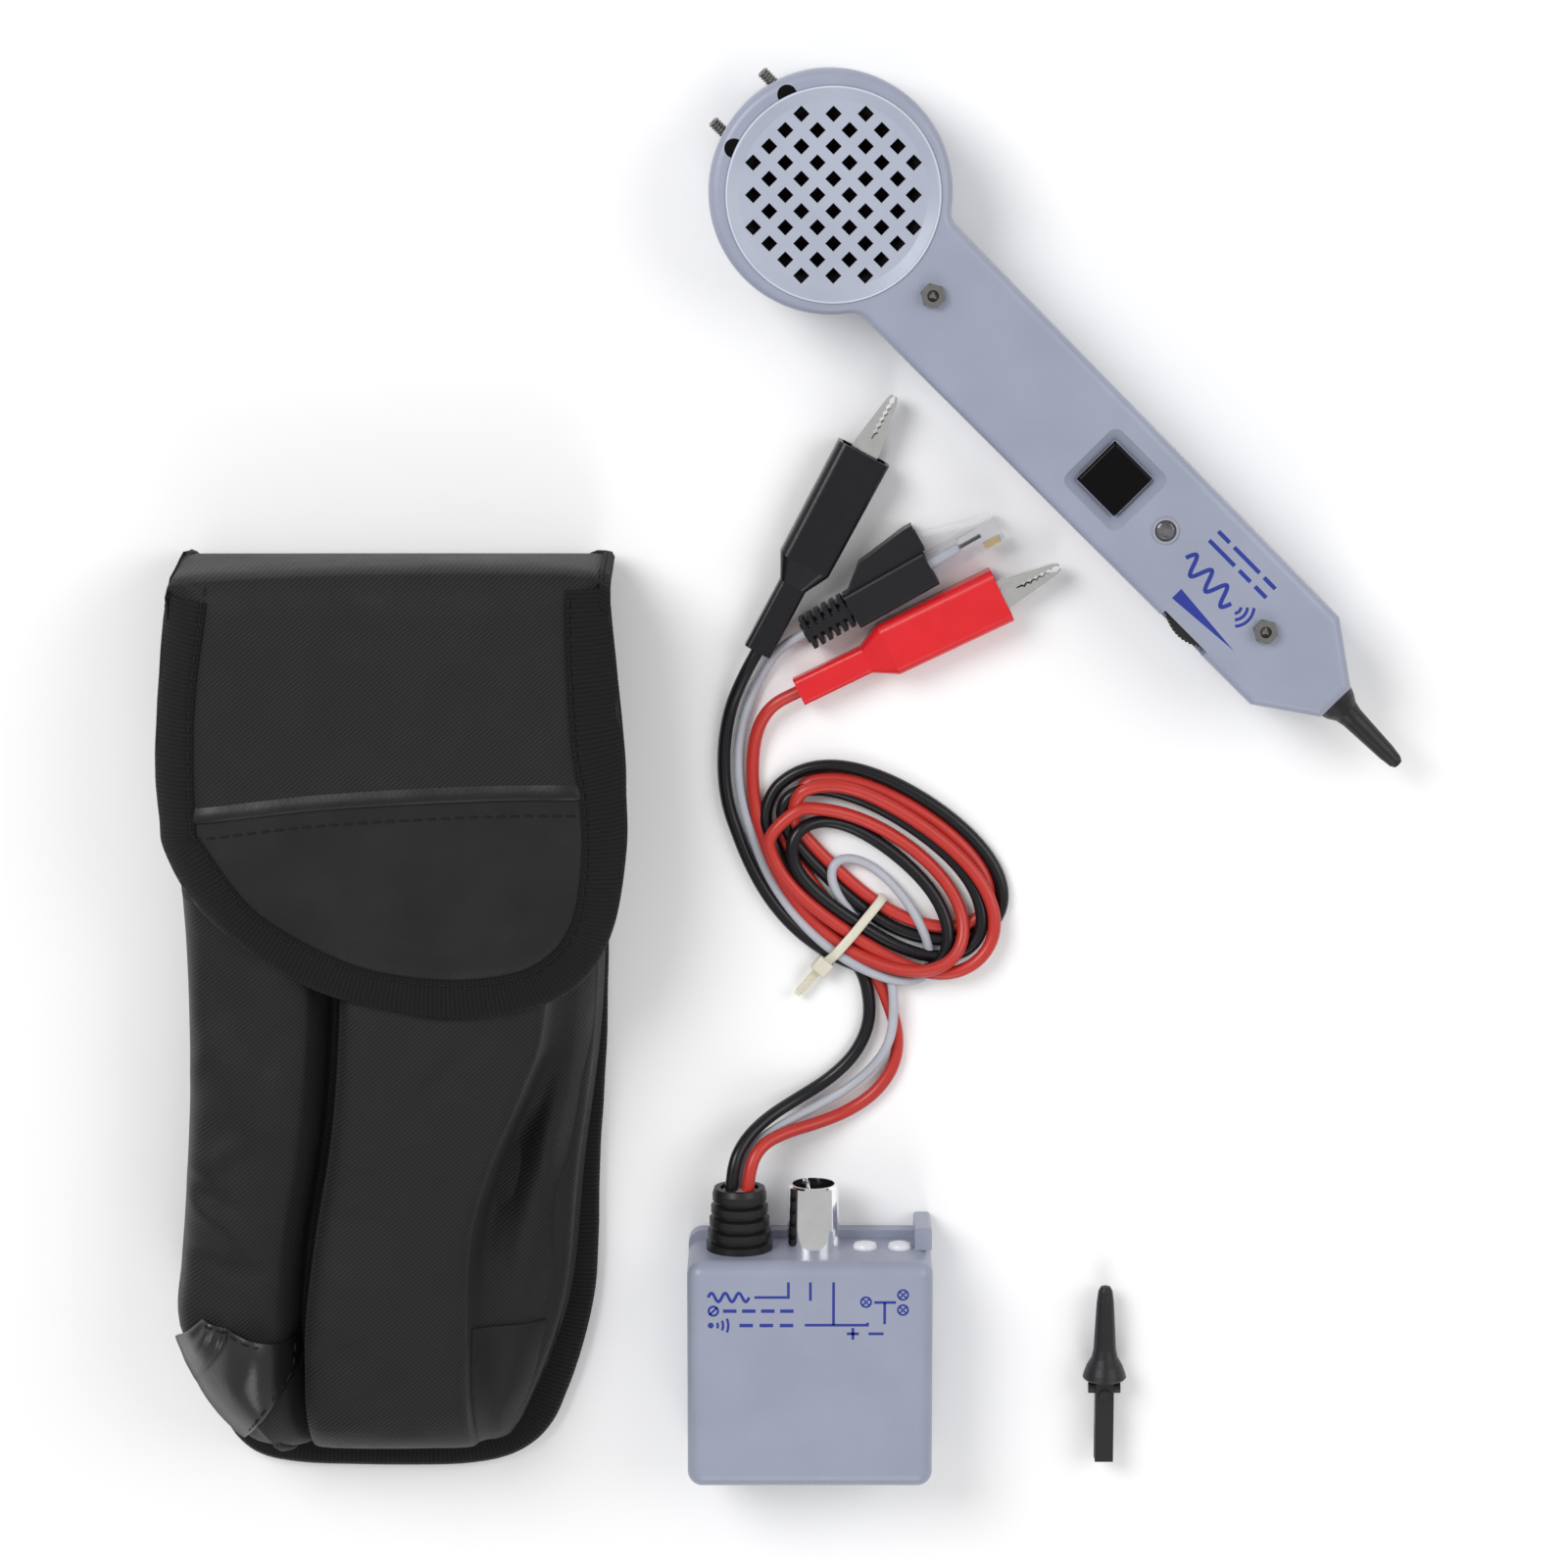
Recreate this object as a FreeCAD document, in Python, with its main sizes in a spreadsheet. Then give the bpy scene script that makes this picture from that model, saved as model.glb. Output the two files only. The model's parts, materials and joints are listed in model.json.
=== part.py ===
import FreeCAD
import Part
import Sketcher

import os
from math import atan2, cos, pi, sin, sqrt, tan

# A tone probe kit: an inductive probe, its spare tip, a tone generator with three test leads,
# and a belt pouch. Everything lies on one floor at z = 0. Lengths are in millimetres.

Vec = FreeCAD.Vector
Z_AXIS = Vec(0, 0, 1)
doc = FreeCAD.newDocument("tone_probe_kit")
sheet = doc.addObject("Spreadsheet::Sheet", "Kit")
parts = []

DRIVING_SIZES = {
    # Places of the pieces on the floor, from the centre of the whole kit
    "probe_x": 11.7,
    "probe_y": 158.0,
    "probe_turn": -45.0,
    "generator_left": -26.3,
    "generator_foot": -189.0,
    "spare_x": 87.7,
    "spare_foot": -189.0,
    "pouch_left": -164.3,
    "pouch_foot": -189.5,
    # Probe casing
    "head_radius": 31.4,
    "handle_half": 16.8,
    "handle_half_end": 16.2,
    "neck_round": 5.0,
    "taper_start": 172.0,
    "nose_end": 187.5,
    "nose_half": 5.5,
    "probe_thick": 30.0,
    "probe_split": 14.0,
    "shell_wall": 2.2,
    "shell_round": 2.6,
    # Grille and loudspeaker
    "grille_shift": 1.0,
    "grille_radius": 27.8,
    "grille_open": 25.5,
    "grille_hole": 3.0,
    "grille_pitch": 5.82,
    "speaker_radius": 24.5,
    # Fasteners, studs and plugs of the probe
    "screw_near": 37.2,
    "screw_far": 160.4,
    "screw_radius": 1.5,
    "nut_flats": 5.8,
    "nut_height": 2.4,
    "boss_radius": 3.0,
    "stud_offset": 9.0,
    "stud_radius": 1.6,
    "stud_reach": 34.2,
    "plug_u": -25.4,
    "plug_v": 9.6,
    "plug_radius": 2.5,
    # Power button, lamp and volume wheel
    "button_u": 104.5,
    "button_side": 13.7,
    "recess_side": 20.3,
    "recess_depth": 3.0,
    "lamp_u": 123.2,
    "lamp_radius": 2.8,
    "bezel_radius": 3.65,
    "wheel_u": 146.0,
    "wheel_v": -6.2,
    "wheel_radius": 11.0,
    # Nine volt battery
    "battery_long": 48.5,
    "battery_wide": 26.5,
    "battery_thick": 17.5,
    # Plug-in tip
    "tip_length": 49.6,
    "tip_dome": 26.5,
    "tip_dome_radius": 6.0,
    "tip_shank": 5.0,
    "tip_slot": 1.6,
    "tip_slot_depth": 10.0,
    # Tone generator
    "box_wide": 66.0,
    "box_high": 63.0,
    "box_deep": 31.0,
    "box_wall": 2.0,
    "cover_deep": 6.0,
    "box_round": 4.0,
    "gland_in": 14.0,
    "gland_radius": 9.0,
    "gland_reach": 17.0,
    "collar_in": 34.0,
    "collar_radius": 7.2,
    "collar_reach": 18.0,
    "lamp_one_in": 48.0,
    "lamp_two_in": 57.4,
    "top_depth": 15.4,
    "post_inset": 4.9,
    "lever_throw": 13.0,
    # Test leads
    "lead_radius": 1.75,
    "flat_radius": 1.3,
    "clip_boot": 60.0,
    "clip_long": 77.0,
    "clip_wide": 15.0,
    "clip_height": 6.2,
    "clip_thick": 12.0,
    "clip_pivot": 62.0,
    # Pouch
    "pouch_wide": 122.0,
    "pouch_long": 250.0,
    "pouch_low": 2.2,
    "pouch_deep": 35.0,
    "pouch_wall": 2.0,
    "pocket_deep": 7.0,
    "pocket_long": 176.0,
    "pocket_wall": 1.3,
    "flap_long": 116.0,
    "flap_thick": 2.2,
}


def fill_sheet():
    for row, (alias, value) in enumerate(DRIVING_SIZES.items(), start=1):
        sheet.set(f"A{row}", alias)
        sheet.set(f"B{row}", str(value))
        sheet.setAlias(f"B{row}", alias)
    doc.recompute()


def size(alias):
    return float(sheet.get(alias))


def bind(item, prop, value):
    """A text value is an expression on the sheet; a number is set as it is."""
    if isinstance(value, str):
        item.setExpression(prop, value)
    else:
        setattr(item, prop, value)


def place(item, at, turn=0.0, axis=Z_AXIS):
    item.Placement = FreeCAD.Placement(Vec(0, 0, 0), FreeCAD.Rotation(axis, turn))
    for letter, value in zip("xyz", at):
        if isinstance(value, str):
            item.setExpression(f"Placement.Base.{letter}", value)
        elif value:
            base = item.Placement.Base
            setattr(base, letter, value)
            item.Placement = FreeCAD.Placement(base, item.Placement.Rotation)
    return item


def primitive(kind, name, at=(0, 0, 0), turn=0.0, axis=Z_AXIS, **sizes):
    item = doc.addObject(f"Part::{kind}", name)
    for prop, value in sizes.items():
        bind(item, prop, value)
    return place(item, at, turn, axis)


def box(name, at, length, width, height):
    return primitive("Box", name, at, Length=length, Width=width, Height=height)


def rod(name, at, radius, height, turn=0.0, axis=Z_AXIS):
    return primitive("Cylinder", name, at, turn, axis, Radius=radius, Height=height)


def fuse(name, *items):
    item = doc.addObject("Part::MultiFuse", name)
    item.Shapes = list(items)
    return item


def cut(name, base, *tools):
    item = doc.addObject("Part::Cut", name)
    item.Base = base
    item.Tool = tools[0] if len(tools) == 1 else fuse(f"{name}_tools", *tools)
    return item


def common(name, *items):
    item = doc.addObject("Part::MultiCommon", name)
    item.Shapes = list(items)
    return item


def solid(name, shape):
    item = doc.addObject("Part::Feature", name)
    item.Shape = shape
    return item


def round_edges(name, base, radius, chosen):
    """A Part fillet on the edges of base for which chosen(edge) holds."""
    doc.recompute()
    item = doc.addObject("Part::Fillet", name)
    item.Base = base
    edges = enumerate(base.Shape.Edges, start=1)
    item.Edges = [(number, radius, radius) for number, edge in edges if chosen(edge)]
    return item


def at_height(edge, height):
    bounds = edge.BoundBox
    return abs(bounds.ZMin - height) < 1e-4 and abs(bounds.ZMax - height) < 1e-4


def upright(edge):
    bounds = edge.BoundBox
    return bounds.ZLength > 1e-3 and bounds.XLength < 1e-4 and bounds.YLength < 1e-4


def keep(label, item, placement):
    """Names a finished sub-part and moves it to its place in the kit."""
    doc.recompute()
    item.Label = label
    own_place = item.Placement
    for letter in "xyz":
        item.setExpression(f"Placement.Base.{letter}", None)
    item.Placement = placement.multiply(own_place)
    parts.append(item)
    return item


# ---------------------------------------------------------------- sketches and bodies


def new_body(name):
    return doc.addObject("PartDesign::Body", name)


def new_sketch(body, name, height=0.0, role="XY_Plane"):
    sketch = body.newObject("Sketcher::SketchObject", name)
    plane = next(item for item in body.Origin.OriginFeatures if item.Role == role)
    sketch.AttachmentSupport = [(plane, "")]
    sketch.MapMode = "FlatFace"
    if isinstance(height, str):
        sketch.setExpression("AttachmentOffset.Base.z", height)
    else:
        sketch.AttachmentOffset = FreeCAD.Placement(Vec(0, 0, height), FreeCAD.Rotation())
    return sketch


def dimension(sketch, name, kind, args, value):
    """One named dimension of a sketch, bound to the sheet where value is an expression."""
    start = value if not isinstance(value, str) else args[-1]
    index = sketch.addConstraint(Sketcher.Constraint(kind, *args[:-1], start))
    sketch.renameConstraint(index, name)
    if isinstance(value, str):
        sketch.setExpression(f"Constraints.{name}", value)


def chain(sketch, pieces):
    """Adds curves end to end; each piece is (curve, first end, last end)."""
    numbers = [sketch.addGeometry(piece[0], False) for piece in pieces]
    for here, piece in enumerate(pieces):
        following = (here + 1) % len(pieces)
        joint = (numbers[here], piece[2], numbers[following], pieces[following][1])
        sketch.addConstraint(Sketcher.Constraint("Coincident", *joint))
    return numbers


def segment(a, b):
    """A straight stretch for chain(), between two flat points."""
    return Part.LineSegment(Vec(*a, 0), Vec(*b, 0)), 1, 2


def quarter_arc(x, y, radius, quarter):
    """The quarter circle for chain() that starts after this many quarter turns."""
    circle = Part.Circle(Vec(x, y, 0), Z_AXIS, radius)
    return Part.ArcOfCircle(circle, quarter * pi / 2, (quarter + 1) * pi / 2), 1, 2


def pad(body, name, sketch, length):
    item = body.newObject("PartDesign::Pad", name)
    item.Profile = sketch
    bind(item, "Length", length)
    return item


def pocket(body, name, sketch, length, upwards=False):
    item = body.newObject("PartDesign::Pocket", name)
    item.Profile = sketch
    bind(item, "Length", length)
    item.Reversed = upwards
    return item


def revolve(body, name, sketch):
    """Turns a sketch drawn on the XZ plane about the body's own Z axis."""
    item = body.newObject("PartDesign::Revolution", name)
    item.Profile = sketch
    item.ReferenceAxis = (sketch, ["V_Axis"])
    item.Angle = 360.0
    return item


def turned(name, outline):
    """A body of revolution; outline lists radius and height, corner by corner."""
    body = new_body(name)
    sketch = new_sketch(body, f"{name}_profile", role="XZ_Plane")
    corners = [Vec(radius, height, 0) for radius, height in outline]
    closed = zip(corners, corners[1:] + corners[:1])
    chain(sketch, [(Part.LineSegment(a, b), 1, 2) for a, b in closed])
    revolve(body, f"{name}_turned", sketch)
    return body


# ---------------------------------------------------------------- probe casing


def probe_outline(sketch, inset):
    """Round head, hollow neck fillets, straight handle and tapered nose, moved inwards by inset."""
    head = size("head_radius") - inset
    near = size("handle_half") - inset
    far = size("handle_half_end") - inset
    nose = size("nose_half") - inset * 0.55
    bend = size("neck_round") + inset
    start = size("taper_start") - inset * 0.6
    end = size("nose_end") - inset
    neck_u = sqrt((head + bend) ** 2 - (near + bend) ** 2)
    slope = atan2(near + bend, neck_u)
    centre = Vec(neck_u, near + bend, 0)

    def mirrored(point):
        return Vec(point.x, -point.y, 0)

    head_arc = Part.ArcOfCircle(Part.Circle(Vec(0, 0, 0), Z_AXIS, head), slope, 2 * pi - slope)
    upper_circle = Part.Circle(centre, Z_AXIS, bend)
    lower_circle = Part.Circle(mirrored(centre), Z_AXIS, bend)
    upper = Part.ArcOfCircle(upper_circle, pi + slope, 1.5 * pi)
    lower = Part.ArcOfCircle(lower_circle, 0.5 * pi, pi - slope)
    corners = [Vec(neck_u, -near, 0), Vec(start, -far, 0), Vec(end, -nose, 0)]
    corners += [mirrored(corner) for corner in reversed(corners)]
    lines = [(Part.LineSegment(a, b), 1, 2) for a, b in zip(corners, corners[1:])]
    numbers = chain(sketch, [(head_arc, 1, 2), (lower, 2, 1)] + lines + [(upper, 2, 1)])
    dimension(sketch, "head", "Radius", (numbers[0], head), f"Kit.head_radius - {inset}")


def casing_shell(name, low, high, rim):
    """One half of the probe's casing: the outline, rounded at its outer rim and hollowed."""
    body = new_body(name)
    outer = new_sketch(body, f"{name}_outline", low)
    probe_outline(outer, 0.0)
    block = pad(body, f"{name}_block", outer, f"{high} - ({low})")
    doc.recompute()
    edges = enumerate(block.Shape.Edges, start=1)
    chosen = [f"Edge{number}" for number, edge in edges if at_height(edge, rim)]
    rounded = body.newObject("PartDesign::Fillet", f"{name}_rim")
    rounded.Base = (block, chosen)
    rounded.setExpression("Radius", "Kit.shell_round")
    return body


def hollow_shell(body, name, rim_is_top):
    wall = size("shell_wall")
    inner = new_sketch(body, f"{name}_hollow", "Kit.probe_split")
    probe_outline(inner, wall)
    depth = "Kit.probe_thick - Kit.probe_split - Kit.shell_wall"
    if not rim_is_top:
        depth = "Kit.probe_split - Kit.shell_wall"
    pocket(body, f"{name}_inside", inner, depth, upwards=rim_is_top)
    body.Tip = doc.getObject(f"{name}_inside")
    doc.recompute()
    return body


def screw_places():
    return (("near", "Kit.screw_near"), ("far", "Kit.screw_far"))


def rounded_block(name, at, side_u, side_v, height, corner):
    block = box(f"{name}_block", at, side_u, side_v, height)
    return round_edges(name, block, corner, upright)


def recess_tool():
    """The sloped square hollow round the power button, wide at the face."""
    top = size("probe_thick") + 0.01
    low = size("probe_thick") - size("recess_depth")
    wide = size("recess_side") / 2
    narrow = size("button_side") / 2 + 0.45
    centre = size("button_u")

    def square(half, corner, height):
        flat = Part.makePlane(2 * half, 2 * half, Vec(centre - half, -half, height))
        loose = flat.extrude(Vec(0, 0, 1))
        rounded = loose.makeFillet(corner, [edge for edge in loose.Edges if upright(edge)])
        face = next(f for f in rounded.Faces if f.BoundBox.ZMax < height + 1e-4)
        return face.OuterWire

    loft = Part.makeLoft([square(narrow, 0.8, low), square(wide, 2.6, top)], True, True)
    return solid("recess_slope", loft)


def front_shell():
    rim = size("probe_thick")
    body = casing_shell("front_casing", "Kit.probe_split", "Kit.probe_thick", rim)
    hollow_shell(body, "front_casing", True)
    extra = []
    cuts = [recess_tool()]
    for word, place_u in screw_places():
        boss = rod(f"front_boss_{word}", (place_u, 0, "Kit.probe_split"), "Kit.boss_radius", 14.0)
        extra.append(boss)
        hole = rod(f"front_screw_hole_{word}", (place_u, 0, 10), "Kit.screw_radius + 0.05", 25)
        cuts.append(hole)
    # Thick floor under the sloped recess, guide for the button, and its square hole
    extra.append(box("recess_floor", ("Kit.button_u - 12", -12, 25.2), 24, 24, 3.0))
    guide = "Kit.button_side + 0.3"
    cuts.append(box("button_hole", (f"Kit.button_u - ({guide}) / 2", -size("button_side") / 2 - 0.15, 20),
                    guide, guide, 12))
    # Ledge for the grille and the opening below it
    cuts.append(rod("grille_seat", ("Kit.grille_shift", 0, 28.8), "Kit.grille_radius + 0.06", 4))
    cuts.append(rod("grille_opening", ("Kit.grille_shift", 0, 20), "Kit.grille_open", 12))
    # Terminal studs through the rim on the parting line, and the two plug holes beside them
    for side, sign in (("left", 1), ("right", -1)):
        cuts.append(stud_bore(f"front_stud_bore_{side}", sign))
        hole_at = ("Kit.plug_u", sign * size("plug_v"), 20)
        cuts.append(rod(f"plug_hole_{side}", hole_at, "Kit.plug_radius + 0.02", 12))
    # Lamp hole, wheel slot in the face's edge, and the nose opening for the tip
    cuts.append(rod("bezel_hole", ("Kit.lamp_u", 0, 20), 3.0, 12))
    cuts.append(box("wheel_slot", (138.2, -19, 20.4), 15.6, 4.4, 12))
    cuts.append(box("wheel_room", (134.0, -14.7, 20.4), 24.0, 4.0, 4.8))
    cuts.append(box("front_nose_opening", (180, -2.65, 10), 10, 5.3, 7.65))
    cuts.append(box("front_lug_room", (178, -4.7, 10), 8.7, 9.4, 8.7))
    shell = cut("front_shell_cut", fuse("front_shell_solid", body, *extra), *cuts)
    return shell


def stud_bore(name, sign):
    """A bore along the handle for one threaded stud, on the parting line."""
    at = (-40, sign * size("stud_offset"), "Kit.probe_split")
    return rod(name, at, "Kit.stud_radius + 0.03", 24, 90, Vec(0, 1, 0))


def rear_shell():
    body = casing_shell("rear_casing", "0", "Kit.probe_split", 0.0)
    hollow_shell(body, "rear_casing", False)
    extra = []
    cuts = []
    for word, place_u in screw_places():
        extra.append(rod(f"rear_boss_{word}", (place_u, 0, 0.5), "Kit.boss_radius", 13.5))
        # A wider foot carries the boss round the sunk pocket of the screw's head
        extra.append(rod(f"rear_boss_foot_{word}", (place_u, 0, 0.5), "Kit.boss_radius + 1.6", 4.2))
        cuts.append(rod(f"rear_screw_hole_{word}", (place_u, 0, -1), "Kit.screw_radius + 0.05", 20))
        cuts.append(rod(f"head_pocket_{word}", (place_u, 0, -1), "Kit.boss_radius + 0.1", 3.6))
    # Ribs that hold the battery by its ends and the rest for the circuit board
    extra.append(box("battery_rib", (95.0, -14.5, 1.5), 1.6, 29, 8.0))
    extra.append(box("board_rest", (150.0, -9.0, 1.5), 1.6, 18, 12.5))
    for side, sign in (("left", 1), ("right", -1)):
        cuts.append(stud_bore(f"rear_stud_bore_{side}", sign))
    cuts.append(box("rear_nose_opening", (180, -2.65, 12.35), 10, 5.3, 10))
    cuts.append(box("rear_lug_room", (178, -4.7, 11.3), 8.7, 9.4, 10))
    return cut("rear_shell_cut", fuse("rear_shell_solid", body, *extra), *cuts)


# ---------------------------------------------------------------- pieces of the probe


def speaker_grille():
    """Dished disc with a raised ring and a square grid of square holes."""
    seat = size("grille_radius")
    profile = [(0, 27.6), (25.4, 27.6), (25.4, 28.8), (seat, 28.8), (seat, 30.2), (seat - 0.4, 30.5)]
    profile += [(seat - 0.9, 30.4), (seat - 3.6, 29.2), (0, 29.2)]
    disc = turned("grille_disc", profile)
    place(disc, ("Kit.grille_shift", 0, 0))
    pitch = size("grille_pitch")
    half_hole = size("grille_hole") / 2
    punches = []
    for row in range(8):
        for column in range(8):
            step_u = row - 3.5
            step_v = column - 3.5
            if step_u ** 2 + step_v ** 2 > 15:
                continue
            at = (size("grille_shift") + step_u * pitch - half_hole, step_v * pitch - half_hole, 26)
            punches.append(box(f"grille_punch_{row}_{column}", at, "Kit.grille_hole", "Kit.grille_hole", 6))
    return cut("grille_cut", disc, *punches)


def speaker():
    rim = size("speaker_radius")
    profile = [(0, 12.0), (10.5, 12.0), (10.5, 17.0), (12.5, 17.4), (rim - 1.5, 25.4), (rim, 25.4)]
    profile += [(rim, 27.5), (rim - 2.0, 27.5), (rim - 3.2, 26.6), (9.0, 20.6), (5.5, 22.8), (0, 23.6)]
    return place(turned("speaker_body", profile), ("Kit.grille_shift", 0, 0))


def probe_circuit_board():
    """Board with its chips; it is notched round the far screw boss."""
    plate = box("board_plate", (98.6, -12.5, 14.0), 64.9, 25.0, 1.6)
    chips = [box("amplifier_chip", (112.5, 3.5, 15.6), 9.8, 6.4, 2.0)]
    chips.append(rod("large_capacitor", (118.0, -7.5, 15.6), 3.1, 6.5))
    chips.append(rod("small_capacitor", (131.0, 6.5, 15.6), 2.0, 5.0))
    chips.append(box("board_socket", (99.6, 5.0, 15.6), 3.0, 6.0, 4.0))
    notch = rod("board_notch", (size("screw_far"), 0, 10), "Kit.boss_radius + 0.3", 20)
    return cut("board_cut", fuse("board_with_chips", plate, *chips), notch)


def battery(name, at):
    """Nine volt block battery along its first axis with both snap terminals at its far end."""
    x, y, z = at
    can = ("Kit.battery_long - 2.5", "Kit.battery_wide", "Kit.battery_thick")
    block = rounded_block(f"{name}_can", (x, y, z), *can, 1.6)
    middle_y = y + size("battery_wide") / 2
    middle_z = z + size("battery_thick") / 2
    ends = [block]
    for word, offset, radius in (("small", -6.35, 2.9), ("large", 6.35, 4.0)):
        foot = (x + 46.0, middle_y + offset, middle_z)
        ends.append(rod(f"{name}_{word}_terminal", foot, radius, 2.5, 90, Vec(0, 1, 0)))
    return fuse(f"{name}_whole", *ends)


def battery_snap(name, at):
    """Snap connector plate pressed over the two terminals; its sockets are blind."""
    x, y, z = at
    plate = rounded_block(f"{name}_plate", (x + 46.2, y + 0.75, z + 2.75), 4.6, 25.0, 12.0, 1.0)
    middle_y = y + size("battery_wide") / 2
    middle_z = z + size("battery_thick") / 2
    sockets = []
    for word, offset, radius in (("small", -6.35, 3.0), ("large", 6.35, 4.1)):
        foot = (x + 45, middle_y + offset, middle_z)
        sockets.append(rod(f"{name}_{word}_socket", foot, radius, 3.7, 90, Vec(0, 1, 0)))
    return cut(f"{name}_cut", plate, *sockets)


def power_button():
    """Square cap, its retaining flange and the plunger that works the switch."""
    side = "Kit.button_side"
    corner = -size("button_side") / 2
    cap = rounded_block("button_cap", (size("button_u") + corner, corner, 23.9), side, side, 5.1, 0.7)
    soft = round_edges("button_cap_soft", cap, 0.6, lambda edge: at_height(edge, 29.0))
    flange = box("button_flange", ("Kit.button_u - 8.0", -8.0, 22.6), 16.0, 16.0, 1.3)
    plunger = rod("button_plunger", ("Kit.button_u", 0, 18.0), 1.75, 5.0)
    return fuse("power_button_whole", soft, flange, plunger)


def switch_base():
    base = box("switch_block", ("Kit.button_u - 3.1", -3.1, 15.6), 6.2, 6.2, 3.6)
    bore = rod("switch_bore", ("Kit.button_u", 0, 16.4), 1.8, 10)
    return cut("switch_cut", base, bore)


def volume_wheel():
    """Thumbwheel with a coarsely knurled rim and a short shaft that turns in the control below."""
    radius = size("wheel_radius")
    body = new_body("wheel_disc")
    sketch = new_sketch(body, "wheel_teeth", 20.8)
    teeth = 60
    ring = []
    for number in range(teeth):
        base = 2 * pi * number / teeth
        for share, reach in ((0.0, radius - 0.55), (0.3, radius), (0.6, radius)):
            angle = base + share * 2 * pi / teeth
            ring.append(Vec(reach * cos(angle), reach * sin(angle), 0))
    lines = [(Part.LineSegment(a, b), 1, 2) for a, b in zip(ring, ring[1:] + ring[:1])]
    chain(sketch, lines)
    pad(body, "wheel_pad", sketch, 3.6)
    place(body, ("Kit.wheel_u", "Kit.wheel_v", 0))
    shaft = rod("wheel_shaft", ("Kit.wheel_u", "Kit.wheel_v", 17.2), 2.0, 4.0)
    return fuse("wheel_whole", body, shaft)


def volume_pot():
    block = box("pot_block", ("Kit.wheel_u - 4.75", "Kit.wheel_v - 4.75", 15.6), 9.5, 9.5, 4.8)
    bore = rod("pot_bore", ("Kit.wheel_u", "Kit.wheel_v", 17.0), 2.05, 10)
    return cut("pot_cut", block, bore)


def indicator_bezel():
    outer = size("bezel_radius")
    inner = size("lamp_radius") + 0.02
    profile = [(inner, 25.0), (2.98, 25.0), (2.98, 30.0), (outer, 30.0)]
    profile += [(outer - 0.25, 30.5), (inner, 30.6)]
    return place(turned("bezel_ring", profile), ("Kit.lamp_u", 0, 0))


def indicator_lamp():
    radius = size("lamp_radius")
    profile = [(0, 20.0), (2.4, 20.0), (2.4, 25.0), (radius, 25.0), (radius, 29.9)]
    profile += [(1.9, 30.35), (0, 30.55)]
    return place(turned("lamp_lens", profile), ("Kit.lamp_u", 0, 0))


def housing_screws():
    """Pan head machine screws from the back, through both shells, into the nuts on the face."""
    screws = []
    for word, place_u in screw_places():
        radius = size("screw_radius")
        profile = [(0, 0.5), (2.2, 0.5), (2.9, 1.2), (2.9, 2.6), (radius, 2.6), (radius, 31.6), (0.9, 32.1)]
        profile += [(0.55, 31.4), (0, 31.4)]
        screw = place(turned(f"screw_{word}", profile), (place_u, 0, 0))
        slot = box(f"screw_slot_{word}", (f"{place_u} - 2.4", -0.4, 0), 4.8, 0.8, 1.2)
        screws.append(cut(f"screw_cut_{word}", screw, slot))
    return fuse("housing_screws_whole", *screws)


def housing_nuts():
    """Hexagon nuts with their corners turned off, seated on the face."""
    nuts = []
    for word, place_u in screw_places():
        across = size("nut_flats") / sqrt(3)
        hexagon = primitive("Prism", f"nut_{word}", (place_u, 0, "Kit.probe_thick"), 30.0,
                            Polygon=6, Circumradius=across, Height="Kit.nut_height")
        cone = primitive("Cone", f"nut_chamfer_{word}", (place_u, 0, "Kit.probe_thick"),
                         Radius1=across + 1.05, Radius2=across - 0.35, Height="Kit.nut_height")
        bore = rod(f"nut_bore_{word}", (place_u, 0, 29), "Kit.screw_radius + 0.03", 5)
        nuts.append(cut(f"nut_cut_{word}", common(f"nut_turned_{word}", hexagon, cone), bore))
    return fuse("housing_nuts_whole", *nuts)


def terminal_studs():
    """Threaded studs that stick out of the head's rim, each with four turns of thread showing."""
    radius = size("stud_radius")
    reach = size("stud_reach")
    studs = []
    for side, sign in (("left", 1), ("right", -1)):
        profile = [(0, 20.5), (radius, 20.5), (radius, reach - 4.8)]
        for turn in range(5):
            foot = reach - 4.8 + turn * 0.85
            profile += [(radius - 0.35, foot + 0.3), (radius, foot + 0.6), (radius, foot + 0.85)]
        profile += [(radius - 0.5, reach), (0, reach)]
        stud = turned(f"stud_{side}", profile)
        at = (0, sign * size("stud_offset"), size("probe_split"))
        studs.append(place(stud, at, -90, Vec(0, 1, 0)))
    return fuse("studs_whole", *studs)


def terminal_plugs():
    """Black plugs in the face beside the grille, each cut back under the grille's rim."""
    plugs = []
    for side, sign in (("left", 1), ("right", -1)):
        at = ("Kit.plug_u", sign * size("plug_v"), 26.4)
        plugs.append(rod(f"plug_{side}", at, "Kit.plug_radius", 3.2))
    relief = rod("plug_relief", ("Kit.grille_shift", 0, 28.75), "Kit.grille_radius + 0.04", 4)
    under = rod("plug_under", ("Kit.grille_shift", 0, 20), "Kit.grille_open - 0.05", 12)
    return cut("plugs_cut", fuse("plugs_both", *plugs), relief, under)


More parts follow.
